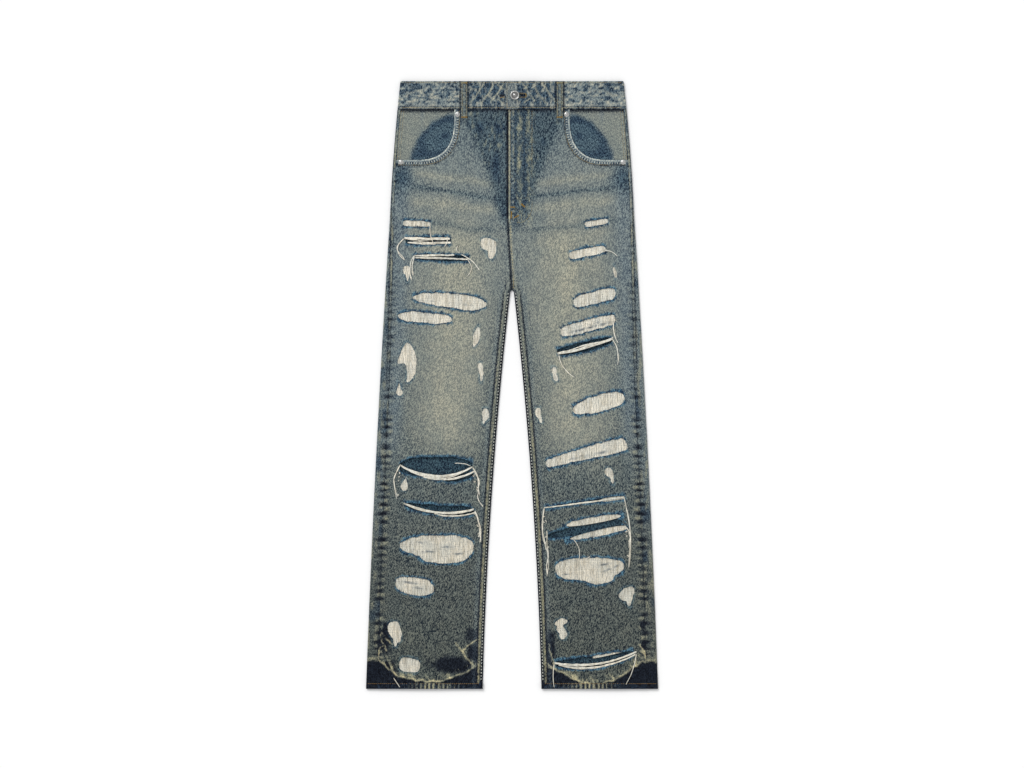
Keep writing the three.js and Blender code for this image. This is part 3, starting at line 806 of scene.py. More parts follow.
def halo_dye(x, y, colour, reach_out, blue):
    """The torn blue edge round each rip, scalloped, light with dark specks in it."""
    width = 3.5 + 1.6 * mottled(x, y, 3.4, 3.4, 61) + 0.9 * mottled(x, y, 11, 9, 63)
    halo = smooth(width + 1.2, width - 0.9, reach_out) * blue
    specks = smooth(-0.1, 0.4, mottled(x, y, 2.8, 2.8, 62)) * halo
    return washed(colour, [(TORN_BLUE, 0.9 * halo), (DEEP_BLUE, 0.8 * specks)])


# %% [markdown]
# ## Denim
#
# Denim is a twill: dark warp over pale weft, on a slant. What the eye sees from a distance isn't
# the twill but its unevenness, short streaks along the warp where thick stretches of yarn lost
# more dye, and a salt and pepper of worn tops. One node group makes that grain for every denim
# piece. Its patterns read Object coordinates, so they don't slide from piece to piece.

# %% Denim grain group
def new_group(name, inputs, outputs):
    """An empty shader node group with the named sockets."""
    group = bpy.data.node_groups.new(name, "ShaderNodeTree")
    for socket, kind, value in inputs:
        made = group.interface.new_socket(name=socket, in_out="INPUT", socket_type=kind)
        made.default_value = value
    for socket, kind in outputs:
        group.interface.new_socket(name=socket, in_out="OUTPUT", socket_type=kind)
    return group, group.nodes.new("NodeGroupInput"), group.nodes.new("NodeGroupOutput")


def stretched_noise(tree, coords, size_mm, turn, detail, name):
    """Noise whose grains are size_mm wide and long, turned by an angle about Z."""
    mapping = tree.nodes.new("ShaderNodeMapping")
    mapping.vector_type = "TEXTURE"
    mapping.inputs["Rotation"].default_value = (0, 0, turn)
    mapping.inputs["Scale"].default_value = tuple(size * MM for size in size_mm)
    tree.links.new(coords, mapping.inputs["Vector"])
    noise = tree.nodes.new("ShaderNodeTexNoise")
    noise.name = name
    noise.inputs["Scale"].default_value = 1.0
    noise.inputs["Detail"].default_value = detail
    noise.inputs["Roughness"].default_value = 0.6
    tree.links.new(mapping.outputs["Vector"], noise.inputs["Vector"])
    return noise.outputs["Fac"]


def feed(tree, socket, value):
    """Sets a socket to a plain number or card colour, or links it to another socket."""
    if isinstance(value, (int, float)):
        socket.default_value = value
    elif isinstance(value, np.ndarray):
        socket.default_value = (*value, 1)
    else:
        tree.links.new(value, socket)


def number(tree, operation, first, second, clamp=False):
    """A Math node; each value is a socket or a plain number."""
    node = tree.nodes.new("ShaderNodeMath")
    node.operation = operation
    node.use_clamp = clamp
    feed(tree, node.inputs[0], first)
    feed(tree, node.inputs[1], second)
    return node.outputs[0]


def spread(tree, value, low, high, to_low=0.0, to_high=1.0):
    """A value's range from low to high made to run between two others, and no further."""
    node = tree.nodes.new("ShaderNodeMapRange")
    node.inputs["From Min"].default_value = low
    node.inputs["From Max"].default_value = high
    node.inputs["To Min"].default_value = to_low
    node.inputs["To Max"].default_value = to_high
    tree.links.new(value, node.inputs["Value"])
    return node.outputs["Result"]


def blended(tree, factor, first, second, kind="MIX"):
    """A colour Mix node; colours are sockets or plain card colours."""
    node = tree.nodes.new("ShaderNodeMix")
    node.data_type = "RGBA"
    node.blend_type = kind
    node.clamp_factor = True
    feed(tree, node.inputs[0], factor)
    feed(tree, node.inputs[6], first)
    feed(tree, node.inputs[7], second)
    return node.outputs[2]


GRAIN, grain_in, grain_out = new_group(
    "denim grain",
    [("Dye", "NodeSocketColor", (0.2, 0.25, 0.28, 1)), ("Contrast", "NodeSocketFloat", 1.0)],
    [("Colour", "NodeSocketColor"), ("Height", "NodeSocketFloat"), ("Roughness", "NodeSocketFloat")],
)
place = GRAIN.nodes.new("ShaderNodeTexCoord").outputs["Object"]
slub = stretched_noise(GRAIN, place, (1.08, 3.6, 4.0), -0.15, 1.0, "slub streaks")
slant = stretched_noise(GRAIN, place, (1.02, 3.0, 4.0), -0.55, 1.0, "slanting streaks")
pepper = stretched_noise(GRAIN, place, (0.92, 1.2, 4.0), 0.0, 1.0, "salt and pepper")
cloud = stretched_noise(GRAIN, place, (28.0, 40.0, 40.0), 0.0, 2.0, "wash clouds")
slub_part = number(GRAIN, "MULTIPLY", slub, 0.4)
slant_part = number(GRAIN, "MULTIPLY", slant, 0.3)
streaks = number(GRAIN, "ADD", slub_part, slant_part)
grain = number(GRAIN, "ADD", streaks, number(GRAIN, "MULTIPLY", pepper, 0.3))
# The noises keep near their middle, so a narrow range is spread out. Dark cloth gets more grain.
grain = spread(GRAIN, grain, 0.455, 0.545, -1.0, 1.0)
lightness = GRAIN.nodes.new("ShaderNodeRGBToBW")
GRAIN.links.new(grain_in.outputs["Dye"], lightness.inputs["Color"])
depth = spread(GRAIN, lightness.outputs["Val"], 0.05, 0.20, 1.45, 0.52)
grain = number(GRAIN, "MULTIPLY", grain, number(GRAIN, "MULTIPLY", depth, grain_in.outputs["Contrast"]))
darker = blended(GRAIN, 1.0, grain_in.outputs["Dye"], np.array([0.08, 0.15, 0.26]), "MULTIPLY")
lighter = blended(GRAIN, 1.0, grain_in.outputs["Dye"], np.array([2.5, 2.3, 1.95]), "MULTIPLY")
lighter = blended(GRAIN, 0.015, lighter, as_light(STONE) * 1.5)
dark_part = number(GRAIN, "MULTIPLY", grain, -0.80, clamp=True)
light_part = number(GRAIN, "MULTIPLY", grain, 0.85, clamp=True)
grained = blended(GRAIN, dark_part, grain_in.outputs["Dye"], darker)
grained = blended(GRAIN, light_part, grained, lighter)
clouded = blended(GRAIN, 1.0, grained, np.array([0.86, 0.90, 0.94]), "MULTIPLY")
grained = blended(GRAIN, spread(GRAIN, cloud, 0.35, 0.65), clouded, grained)
GRAIN.links.new(grained, grain_out.inputs["Colour"])

twill = GRAIN.nodes.new("ShaderNodeTexWave")
twill.name = "twill ridges"
twill.inputs["Scale"].default_value = 1.0
twill.inputs["Distortion"].default_value = 0.6
twill_place = GRAIN.nodes.new("ShaderNodeMapping")
twill_place.vector_type = "TEXTURE"
twill_place.inputs["Rotation"].default_value = (0, 0, 0.45)
twill_place.inputs["Scale"].default_value = (0.006, 0.006, 0.006)
GRAIN.links.new(place, twill_place.inputs["Vector"])
GRAIN.links.new(twill_place.outputs["Vector"], twill.inputs["Vector"])
height = number(GRAIN, "ADD", number(GRAIN, "MULTIPLY", twill.outputs["Fac"], 0.35),
                number(GRAIN, "MULTIPLY", grain, 0.5))
GRAIN.links.new(height, grain_out.inputs["Height"])
GRAIN.links.new(spread(GRAIN, pepper, 0.3, 0.7, 0.82, 0.96), grain_out.inputs["Roughness"])
print("denim grain group:", len(GRAIN.nodes), "nodes")


# %% [markdown]
# Each cloth material stays its own, with the group inside. The colour comes from the piece's own
# dye attribute, worked out above, so one material serves every denim piece. A little sheen stands
# for the fuzz of cotton.

# %% Denim and yarn materials
def dyed_cloth(name, contrast, bump, sheen):
    """A matt cotton material: dye attribute through the grain group to colour and bump."""
    material = bpy.data.materials.new(name)
    material.use_nodes = True
    tree = material.node_tree
    shader = tree.nodes["Principled BSDF"]
    dye_node = tree.nodes.new("ShaderNodeAttribute")
    dye_node.attribute_name = "dye"
    grain_node = tree.nodes.new("ShaderNodeGroup")
    grain_node.node_tree = GRAIN
    grain_node.inputs["Contrast"].default_value = contrast
    tree.links.new(dye_node.outputs["Color"], grain_node.inputs["Dye"])
    bump_node = tree.nodes.new("ShaderNodeBump")
    bump_node.inputs["Strength"].default_value = bump
    bump_node.inputs["Distance"].default_value = 0.0004
    tree.links.new(grain_node.outputs["Height"], bump_node.inputs["Height"])
    tree.links.new(grain_node.outputs["Colour"], shader.inputs["Base Color"])
    tree.links.new(grain_node.outputs["Roughness"], shader.inputs["Roughness"])
    tree.links.new(bump_node.outputs["Normal"], shader.inputs["Normal"])
    shader.inputs["Specular IOR Level"].default_value = 0.08
    shader.inputs["Sheen Weight"].default_value = sheen
    shader.inputs["Sheen Roughness"].default_value = 0.6
    return material


DENIM = dyed_cloth("washed denim", 1.0, 0.5, 0.04)
YARN = dyed_cloth("cotton yarn", 0.28, 0.25, 0.12)


# %% [markdown]
# ## Front panels
#
# A front panel is a grid: rows down the leg, columns at a constant share from the inseam to the
# outseam, so the columns follow the seams as the warp of a real panel nearly does. The pocket
# mouth and the rips are then cut out of it. Soft troughs and ridges keep it from looking ironed.

# %% Front panels
ROW_STEP = 2.65
HEM_ROWS_FROM = -444.0
HEM_ROWS = 74
FRONT_COLUMNS = 108
EDGE_CROWDING = 0.35


def front_inner_x(y, side):
    """Inner edge of a front panel, signed: fly edge, centre seam, then inseam."""
    seam = FLY_EDGE_X * smooth(CROTCH_Y, FLY_BOTTOM, y)
    if side > 0:
        upper = seam + GAP / 2
    else:
        upper = np.where(y > FLY_BOTTOM + 8, FLY_SEAM_X, seam - GAP / 2)
    return np.where(y <= CROTCH_Y, side * inseam_x(y), upper)


def front_relief(x, y, u):
    """Soft troughs and ridges of cloth that lies flat, in millimetres."""
    broad = 0.30 * uneven(x, y, 120, 81) + 0.14 * uneven(x, y, 38, 82)
    drag = 0.18 * np.sin(2 * np.pi * (y - 0.13 * np.abs(x)) / 27) * hump(y, 330, 70)
    dark, pale = outseam_ropes(x, y)
    edge = smooth(0.0, 0.05, u) * (1 - smooth(0.96, 1.0, u))
    return (broad + drag) * edge + 0.8 * pale - 0.5 * dark


def hem_relief(x, y, word):
    """The crease that borders the folded zone stands up, and the small creases with it."""
    ridge = 0.9 * hump(y, hem_border(x, y, word) + 1.5, 3.0)
    for crease in CREASES[word]:
        ridge = np.maximum(ridge, 0.7 * near_line(x, y, crease, 2.6))
    return ridge * smooth(HEM_FOLD_Y, HEM_FOLD_Y + 4, y)


def front_cloth(word, side):
    """One front panel as a closed wall with its pocket mouth and rips cut out."""
    y_row = np.concatenate([
        np.arange(WAISTBAND_BOTTOM - GAP, HEM_ROWS_FROM, -ROW_STEP),
        np.linspace(HEM_ROWS_FROM, -HALF_LENGTH, HEM_ROWS)])
    rows = len(y_row)
    even = np.linspace(0, 1, FRONT_COLUMNS)
    share = even - EDGE_CROWDING * np.sin(2 * np.pi * even) / (2 * np.pi)
    y = np.repeat(y_row[:, None], FRONT_COLUMNS, axis=1)
    inner = front_inner_x(y, side)
    x = inner + (side * (outseam_x(y) - GAP / 2) - inner) * share
    u = leg_share(x, y)
    hem = smooth(HEM_FOLD_Y + 1, HEM_FOLD_Y - 1, y)
    lift = fly_lift(x, y) if side > 0 else 0
    leg = 1 - smooth(CROTCH_Y - 40, CROTCH_Y + 40, y)
    drop = (front_level(y) - CLOTH - GAP) * leg * (1 - smooth(0, 0.035, share)) * (1 - hem)
    from_seam = np.abs(x) - inseam_x(y)
    fell = 0.55 * leg * hump(from_seam, 6.0, 3.6)
    top = front_level(y) + crown(share, y) + lift - drop + CLOTH
    top = top + front_relief(x, y, u) + fell + hem_relief(x, y, word)
    top = top + hem * (0.55 + 0.25 * np.sin(2 * np.pi * np.abs(x) / HEM_PUCKER))
    reach_out, blue = rips_reach(word, x, y)
    top = top + 0.5 * hump(reach_out, 1.4, 1.5) * (0.6 + 0.5 * mottled(x, y, 4, 4, 64))
    out = scoop_reach(x, y)
    beside = (np.abs(x) > SCOOP_X - SCOOP_ACROSS - 12) & (y > SCOOP_Y - SCOOP_DOWN - 14)
    top = top + np.where(beside, 0.35 * hump(out, 2.0, 1.8) - 0.25 * hump(out, 6.0, 1.5), 0)
    thickness = CLOTH + (HEM_CLOTH - CLOTH) * hem

    felled = leg * smooth(10.6, 9.2, from_seam) * (1 - hem) * (0.25 + 0.6 * hump(from_seam, 8.4, 1.9))
    tanned = (1.0 + 0.4 * mottled(x, y, 6, 8, 65)) * (0.5 + 0.5 * smooth(60, -240, y))
    colour = washed(halo_dye(x, y, front_dye(x, y, side, word), reach_out, blue), [
        (SEAM_TAN, tanned * felled),
        (NAVY, 0.95 * leg * smooth(5.4, 4.0, from_seam)),
        (NAVY, 0.9 * leg * hump(from_seam, 11.6, 1.5)),
        (BLUE_GREY, 0.3 * leg * hump(from_seam, 16, 4)),
    ])

    data = np.concatenate([
        np.stack([x, y, top, thickness], axis=-1), colour], axis=-1).reshape(-1, 7)
    faces = halved(grid_faces(rows, FRONT_COLUMNS))
    if side > 0:
        faces = faces[:, ::-1]
    keep_mouth = np.where(np.abs(x) > 90, out, 50).ravel()
    mouth_only = y.ravel() < SCOOP_Y - SCOOP_DOWN - 5
    keep = np.minimum(np.where(mouth_only, 50, keep_mouth), reach_out.ravel())
    data, faces = cut_away(data, faces, keep)
    outside = data[:, :3]
    inside = outside - data[:, 3:4] * np.array([0, 0, 1])
    points, face_sets = cloth_wall(outside, inside, faces)
    return points, face_sets, as_light(np.concatenate([data[:, 4:], all_over(data, SHADED_INNER_FACE)]))


for word, side in SIDES.items():
    made = front_cloth(word, side)
    add_piece(f"front_cloth_{word}", made, DENIM, f"front_{word}")

# %% [markdown]
# ## Back panels and yokes
#
# A back panel lies on the table, turns up round the outer fold and shows on top as a strip up to
# the outseam. Its course across is a profile: flat run, half circle, strip. The profile is
# carried down the leg with its sizes changing at each row. The yoke is the same cloth above a
# slanting seam, so both come from one function.

# %% Back panels
BACK_LOOPS = {"right": -105.0, "centre": 0.0, "left": 105.0}
LOOP_HALF = 6.0
LOOP_BOTTOM = 479.0
POCKET_INNER = 48.0
POCKET_OUTER = 192.0
POCKET_TOP = 398.0
POCKET_CORNER = 262.0
POCKET_POINT = 240.0
POCKET_TAPER = 8.0
YOKE_CENTRE = 430.0
YOKE_SIDE = 455.0
FLAT_POINTS = 40
FOLD_POINTS = 10
STRIP_POINTS = 8
BACK_ROW_STEP = 3.4


def yoke_seam_y(across):
    """The yoke's seam rises from the centre to the side."""
    return YOKE_CENTRE + (YOKE_SIDE - YOKE_CENTRE) * np.minimum(1, across / 205)


def back_lift(across, y):
    """How far the back stands off the table over the pockets and loops sewn on its face."""
    pocket = (smooth(POCKET_INNER - 9, POCKET_INNER - 1, across)
              * (1 - smooth(POCKET_OUTER + 1, POCKET_OUTER + 10, across))
              * smooth(POCKET_POINT - 10, POCKET_POINT - 1, y)
              * (1 - smooth(POCKET_TOP + 1, POCKET_TOP + 8, y)))
    loops = np.zeros(np.shape(across))
    for loop_x in (0.0, 105.0):
        loops = np.maximum(loops, 1 - smooth(LOOP_HALF + 1, LOOP_HALF + 6, np.abs(across - loop_x)))
    loops = loops * smooth(LOOP_BOTTOM - 7, LOOP_BOTTOM - 1, y)
    return LAYER * np.maximum(pocket, loops)


def back_dye(x, y, on_top, run):
    """The back's wash: a faded seat and thigh under it, and the roped strip on top."""
    across = np.abs(x)
    u = leg_share(x, y)
    from_seam = across - outseam_x(y)
    seat = hump(across, 120, 70) * hump(y, 300, 130)
    thigh = hump(u, 0.5, 0.3) * smooth(300, 150, y) * (1 - smooth(-80, -200, y))
    dark, _ = outseam_ropes(x, y)
    patches = smooth(0.1, 0.8, mottled(x, y, 16, 26, 73))
    frosted = smooth(0.1, 0.7, mottled(x, y, 3.4, 18, 75))
    above_knee = on_top * smooth(-40, 60, y)
    pale_line = hump(from_seam, 2.6, 1.3) * smooth(-0.4, 0.3, mottled(0 * x, y, 50, 34, 76))
    border = -496 + 3 * mottled(x, 0 * y, 9, 9, 51)
    tuft = smooth(-0.2, 0.7, mottled(x + 0.5 * y, y, 2.6, 9, 54))
    under_navy = smooth(-515, -524, y + 6 * uneven(x, y, 60, 53)) * (1 - on_top)
    return washed(ground(y), [
        (TAN, 0.55 * seat + 0.6 * thigh),
        (BLUE_GREY, 0.5 * on_top * smooth(-350, -150, y)),
        (DEEP_BLUE, 0.6 * on_top * patches),
        (STONE, 0.5 * on_top * frosted),
        (STONE, 0.8 * above_knee * pale_line),
        (NAVY, 0.55 * above_knee * hump(from_seam, 5.4, 1.3)),
        (NAVY, on_top * (dark + 0.4 * hump(run, 1.0, 0.10))),
        (STONE, 0.7 * on_top * tuft * hump(y, border + 9, 13)),
        (NAVY, 0.97 * on_top * smooth(border, border - 4, y)),
        (PALE_CREASE, 0.85 * on_top * hump(y, border + 1, 1.8)),
        (NAVY, 0.85 * under_navy),
        (NAVY, 0.8 * hump(u, 0.0, 0.012) * (y < CROTCH_Y)),
    ])


def back_cloth(side, y_rows, row, offset):
    """A back piece as a closed wall, with one end's row moved onto the yoke seam or beside it."""
    share = np.linspace(0, 1, FLAT_POINTS) ** 0.9
    y = np.repeat(np.asarray(y_rows)[:, None], FLAT_POINTS + FOLD_POINTS + STRIP_POINTS, axis=1)
    hem = smooth(HEM_FOLD_Y + 1, HEM_FOLD_Y - 1, y[:, :1])
    cloth = CLOTH + (HEM_CLOTH - CLOTH) * hem
    fold = (front_level(y[:, :1]) + CLOTH) / 2
    fold_x = outline_x(y[:, :1]) - fold
    start = inseam_x(y[:, :1])
    flat_x = start + (fold_x - start) * share
    lift = back_lift(flat_x, y[:, :FLAT_POINTS])
    angle = np.pi * (np.arange(1, FOLD_POINTS + 1) / FOLD_POINTS - 0.5)
    seam = outseam_x(y[:, :1]) + GAP / 2
    along = np.arange(1, STRIP_POINTS + 1) / STRIP_POINTS
    strip_x = fold_x + (seam - fold_x) * along
    strip_z = 2 * fold + 0 * strip_x

    out_x = np.concatenate([flat_x, fold_x + fold * np.cos(angle), strip_x], axis=1)
    out_z = np.concatenate([lift, fold + fold * np.sin(angle), strip_z], axis=1)
    in_x = np.concatenate([flat_x, fold_x + (fold - cloth) * np.cos(angle), strip_x], axis=1)
    in_z = np.concatenate([lift + cloth, fold + (fold - cloth) * np.sin(angle), strip_z - cloth], axis=1)
    on_top = np.concatenate([0 * flat_x, (np.sin(angle) > -0.3) + 0 * fold_x, 1 + 0 * strip_x], axis=1)
    run = np.concatenate([0 * flat_x, 0 * angle + 0 * fold_x, along + 0 * fold_x], axis=1)
    dark, _ = outseam_ropes(out_x, y)
    swell = 0.25 * mottled(out_x, y, 20, 12, 74) * (out_z > 1.2 * fold)
    out_z = out_z + on_top * (swell - 0.45 * dark * (out_z > 1.2 * fold))
    y[row] = yoke_seam_y(out_x[row]) + offset
    outside = places(side * out_x, y, out_z)
    inside = places(side * in_x, y, in_z)
    faces = grid_faces(*y.shape)
    if side < 0:
        faces = faces[:, ::-1]
    colour = back_dye(side * out_x, y, on_top, run).reshape(-1, 3)
    points, face_sets = cloth_wall(outside, inside, faces)
    # Inner faces in the inner blue with its painted shade; the flat run's inner face shows through the
    # rips.
    return points, face_sets, as_light(np.concatenate([colour, all_over(colour, SHADED_INNER_FACE)]))


back_rows = np.arange(YOKE_CENTRE - 4, -HALF_LENGTH + 1, -BACK_ROW_STEP)
back_rows = np.concatenate([[YOKE_SIDE], back_rows, [-HALF_LENGTH]])
yoke_rows = np.arange(WAISTBAND_BOTTOM - GAP, YOKE_SIDE + 3, -BACK_ROW_STEP)
yoke_rows = np.concatenate([yoke_rows, [YOKE_SIDE]])
for word, side in SIDES.items():
    made = back_cloth(side, back_rows, 0, -GAP / 2)
    add_piece(f"back_cloth_{word}", made, DENIM, f"back_{word}")
    made = back_cloth(side, yoke_rows, -1, GAP / 2)
    add_piece(f"yoke_cloth_{word}", made, DENIM, f"yoke_{word}")


# %% [markdown]
# ## Flat trims
#
# The back pockets, back loops, pocket facings and the fly shield are small flat pieces of the same
# denim. Each is a grid squeezed into its outline, with its edge a little thinner than its middle,
# as pressed cloth is.

# %% Flat trims
def flat_piece(left, right, y_rows, bottom, top, dye_function, columns=26, lift=None):
    """A wall between left(y) and right(y), from one height to the other, its edge rolled down.

    lift(x, y) raises both faces, for a piece that isn't quite flat.
    """
    y = np.repeat(np.asarray(y_rows)[:, None], columns, axis=1)
    share = np.linspace(0, 1, columns)
    x = left(y) + (right(y) - left(y)) * share
    end = np.minimum(np.arange(len(y_rows)), np.arange(len(y_rows))[::-1])[:, None]
    side_edge = np.minimum(np.arange(columns), np.arange(columns)[::-1])
    roll = 0.28 * ((end == 0) | (side_edge == 0))
    raised = 0 * x if lift is None else lift(x, y)
    outside = places(x, y, top - roll + raised)
    inside = places(x, y, bottom + roll + raised)
    faces = grid_faces(*x.shape)[:, ::-1]
    points, face_sets = cloth_wall(outside, inside, faces)
    colour = dye_function(x, y).reshape(-1, 3)
    return points, face_sets, as_light(np.concatenate([colour, colour]))


def pocket_left(y):
    """Inner edge of a back pocket: a straight side, then the slant to its point."""
    middle = (POCKET_INNER + POCKET_OUTER) / 2
    side_x = POCKET_INNER + POCKET_TAPER * (POCKET_TOP - y) / (POCKET_TOP - POCKET_CORNER)
    down = (POCKET_CORNER - y) / (POCKET_CORNER - POCKET_POINT)
    slant_x = POCKET_INNER + POCKET_TAPER + (middle - POCKET_INNER - POCKET_TAPER - 0.4) * down
    return np.where(y > POCKET_CORNER, side_x, slant_x)


def pocket_dye(x, y):
    """A back pocket, faded in its middle and worn along its mouth, with a darker line below."""
    return washed(ground(y), [
        (TAN, 0.5 * hump(np.abs(x), 120, 60)),
        (WORN_EDGE, 0.5 * hump(y, POCKET_TOP, 2.5)),
        (DEEP_BLUE, 0.3 * hump(y, POCKET_TOP - 12, 3)),
    ])


def facing_dye(x, y):
    """A pocket facing: pale outside, with the dark place that the pocket's edge kept from wear."""
    kept = np.abs((np.abs(x) - 114) / 68) ** 1.6 + np.abs((y - 404) / 80) ** 1.6
    dark = smooth(1.12, 0.86, kept + 0.06 * mottled(x, y, 9, 9, 94))
    return washed(np.zeros(x.shape + (3,)) + FACING_GREY, [
        (BLUE_GREY, 0.55 * smooth(-0.3, 0.8, mottled(x, y, 9, 26, 91))),
        (FACING_DARK, 0.95 * dark),
        (DEEP_BLUE, 0.7 * dark * smooth(0.0, 0.8, mottled(x, y, 20, 16, 93))),
        (DEEP_BLUE, 0.55 * hump(kept, 0.92, 0.12)),
        (NAVY, 0.8 * smooth(488, 495, y)),
    ])


def strap_dye(x, y):
    """A back belt loop, faded unevenly."""
    return mixed(ground(y), STONE, 0.35 + 0.3 * uneven(x, y, 9, 92))


FACING_UNDER = 20.0


def facing_left(y):
    """The facing follows the mouth's curve, 20 mm further in."""
    down = np.clip((SCOOP_Y - y) / (SCOOP_DOWN + FACING_UNDER), 0, 1)
    return SCOOP_X - (SCOOP_ACROSS + FACING_UNDER) * (1 - down ** SCOOP_POWER) ** (1 / SCOOP_POWER)


def add_trim(name, node, made):
    """Adds a flat trim and says which CAD node it stands for."""
    add_piece(name, made, DENIM, node)


def mirrored(made, side):
    """The wearer's left trim turned over to the right: X changes sign and faces turn round."""
    points, face_sets, dye = made
    if side > 0:
        return made
    return points * np.array([-1, 1, 1]), [f[:, ::-1] for f in face_sets], dye


def facing_lift(x, y):
    """The facing rises to the side seam, where it is sewn in with the panels."""
    return 1.2 * smooth(16, 3, outseam_x(y) - x) * smooth(409, 420, y)


FACING_ROWS = np.linspace(WAISTBAND_BOTTOM - GAP, 385.4, 56)
for word, side in SIDES.items():
    pocket_rows = np.linspace(POCKET_TOP, POCKET_POINT + 0.3, 60)
    made = flat_piece(pocket_left, lambda y: POCKET_INNER + POCKET_OUTER - pocket_left(y),
                      pocket_rows, 0.0, CLOTH, pocket_dye, 50)
    add_trim(f"back_pocket_cloth_{word}", f"back_pocket_{word}", mirrored(made, side))
    made = flat_piece(facing_left, lambda y: outseam_x(y) - 0.4,
                      FACING_ROWS, HIP_LEVEL - LAYER, HIP_LEVEL - GAP, facing_dye, 60, facing_lift)
    add_trim(f"pocket_facing_cloth_{word}", f"pocket_facing_{word}", mirrored(made, side))

for word, loop_x in BACK_LOOPS.items():
    made = flat_piece(lambda y: loop_x - LOOP_HALF + 0 * y, lambda y: loop_x + LOOP_HALF + 0 * y,
                      np.linspace(HALF_LENGTH - 0.5, LOOP_BOTTOM, 28), 0.0, CLOTH, strap_dye, 8)
    add_trim(f"back_loop_cloth_{word}", f"back_loop_{word}", made)

made = flat_piece(lambda y: FLY_SEAM_X + GAP + 0 * y,
                  lambda y: 28 - 25 * (1 - smooth(FLY_BOTTOM + 8, FLY_BOTTOM + 34, y)),
                  np.linspace(WAISTBAND_BOTTOM - GAP, FLY_BOTTOM + 12, 60),
                  HIP_LEVEL, HIP_LEVEL + CLOTH, lambda x, y: ground(y), 8)
add_trim("fly_shield_cloth", "fly_shield", made)

# %% [markdown]
# ## Waistband
#
# The band is one strip folded into a flattened loop: from the lap at the centre front, round the
# left side, under the back and round the right side to the end below the lap. Its course is a
# line of places in X and Z. The strip's two faces lie half its thickness to each side. The
# buttonhole is cut through the lap alone.

# %% Waistband
BAND_CLOTH = 2.2
BAND_TOP = 6.6
BAND_ROWS = 30
LAP_END_X = -12.0
LAP_FLAT_X = 38.0
LAP_FOOT_X = 62.0
UNDERLAP_END_X = 30.0
BUTTON_X = 5.0
BUTTON_Y = 521.0
HOLE_FROM = 2.0
HOLE_TO = 25.0
HOLE_HALF = 2.7
LAP_COLUMNS = 30


def band_course(y):
    """Middle line of the band at heights y: arrays of X and Z and of the outward direction."""
    fold = BAND_TOP / 2
    middle = fold - BAND_CLOTH / 2
    top = fold + middle
    lap = top + BAND_CLOTH + GAP
    fold_x = outline_x(y)[:, None] - fold
    one = np.ones_like(fold_x)
    on_lap = np.linspace(LAP_END_X, LAP_FLAT_X, 26)
    down = np.linspace(LAP_FLAT_X, LAP_FOOT_X, 12)[1:]
    down_z = top + (lap - top) * (1 - smooth(LAP_FLAT_X, LAP_FOOT_X, down))
    out_left = np.linspace(0, 1, 78)[1:]
    turn = np.linspace(np.pi / 2, -np.pi / 2, 11)[1:]
    under = np.linspace(1, -1, 90)[1:-1]
    turn_back = np.linspace(-np.pi / 2, -1.5 * np.pi, 12)
    in_right = np.linspace(0, 1, 120)[1:]

    under_x = fold_x * under
    loop_lift = np.zeros_like(under_x)
    for loop_x in BACK_LOOPS.values():
        near = 1 - smooth(LOOP_HALF + 1.5, LOOP_HALF + 12, np.abs(under_x - loop_x))
        loop_lift = np.maximum(loop_lift, LAYER * near)
    x = np.concatenate([
        on_lap * one, down * one, LAP_FOOT_X + (fold_x - LAP_FOOT_X) * out_left,
        fold_x + middle * np.cos(turn), under_x, -fold_x + middle * np.cos(turn_back),
        -fold_x + (UNDERLAP_END_X + fold_x) * in_right], axis=1)
    z = np.concatenate([
        lap + 0 * on_lap * one, down_z * one, top + 0 * out_left * one,
        fold + middle * np.sin(turn) * one, BAND_CLOTH / 2 + loop_lift,
        fold + middle * np.sin(turn_back) * one, top + 0 * in_right * one], axis=1)
    dx = np.gradient(x, axis=1)
    dz = np.gradient(z, axis=1)
    size = np.hypot(dx, dz)
    return x, z, -dz / size, dx / size


FAN_CREASES = [
    [(-20, 542), (-30, 526), (-42, 511)], [(-56, 542), (-66, 526), (-79, 509)],
    [(-38, 540), (-47, 524), (-60, 508)], [(-21, 533), (-30, 540)], [(-22, 508), (-32, 515)],
]


def band_dye(x, y, up):
    """Blotchy wash of the band, with pale creases that fan out from the button and painted shadow beside
    the front loops.
    """
    across = np.abs(x)
    side_blots = mottled(x + 0.4 * y, y, 8, 3.4, 101) + 0.9 * mottled(x - 0.4 * y, y, 3.2, 3.0, 104)
    streaks = mottled(x, y, 3.2, 14, 105) + 0.9 * mottled(x, y, 2.4, 4, 106)
    centre = 1 - smooth(70, 96, across)
    blots = side_blots * (1 - centre) + streaks * centre
    ends = smooth(158, 180, across) * smooth(520, 532, y)
    colour = washed(np.zeros(x.shape + (3,)) + BAND_GREY, [
        (BAND_DARK, 0.9 * centre),
        (BAND_PALE, 0.85 * smooth(0.0, 0.9, blots)),
        (DEEP_BLUE, 0.8 * smooth(0.1, 0.9, -blots)),
        (DEEP_BLUE, 0.75 * ends * smooth(-0.4, 0.2, mottled(x, y, 10, 6, 107))),
    ])
    shaken_x = x + 1.5 * mottled(x, y, 6, 6, 108)
    for crease in FAN_CREASES:
        for sign, shift in ((-1, 0), (1, 5)):
            route = [(sign * px + shift, py) for px, py in crease]
            colour = mixed(colour, BAND_CREASE, 0.75 * up * near_line(shaken_x, y, route, 1.4))
    return washed(colour, [
        (WORN_EDGE, 0.30 * hump(y, 503, 3.0)),
        (NAVY, 0.8 * hump(y, WAISTBAND_BOTTOM, 1.6)),
        (NAVY, 0.45 * hump(y, 501.5, 0.9)),
        (WORN_EDGE, 0.4 * hump(y, HALF_LENGTH, 1.2)),
        # Painted shadow on the band along both sides of each front loop.
        (NAVY, 0.85 * hump(np.abs(across - 86), 7.2, 1.3) * up),
        (TAB_GREY, 0.65 * smooth(-13, -11, x) * smooth(11, 9, x) * up),
    ])


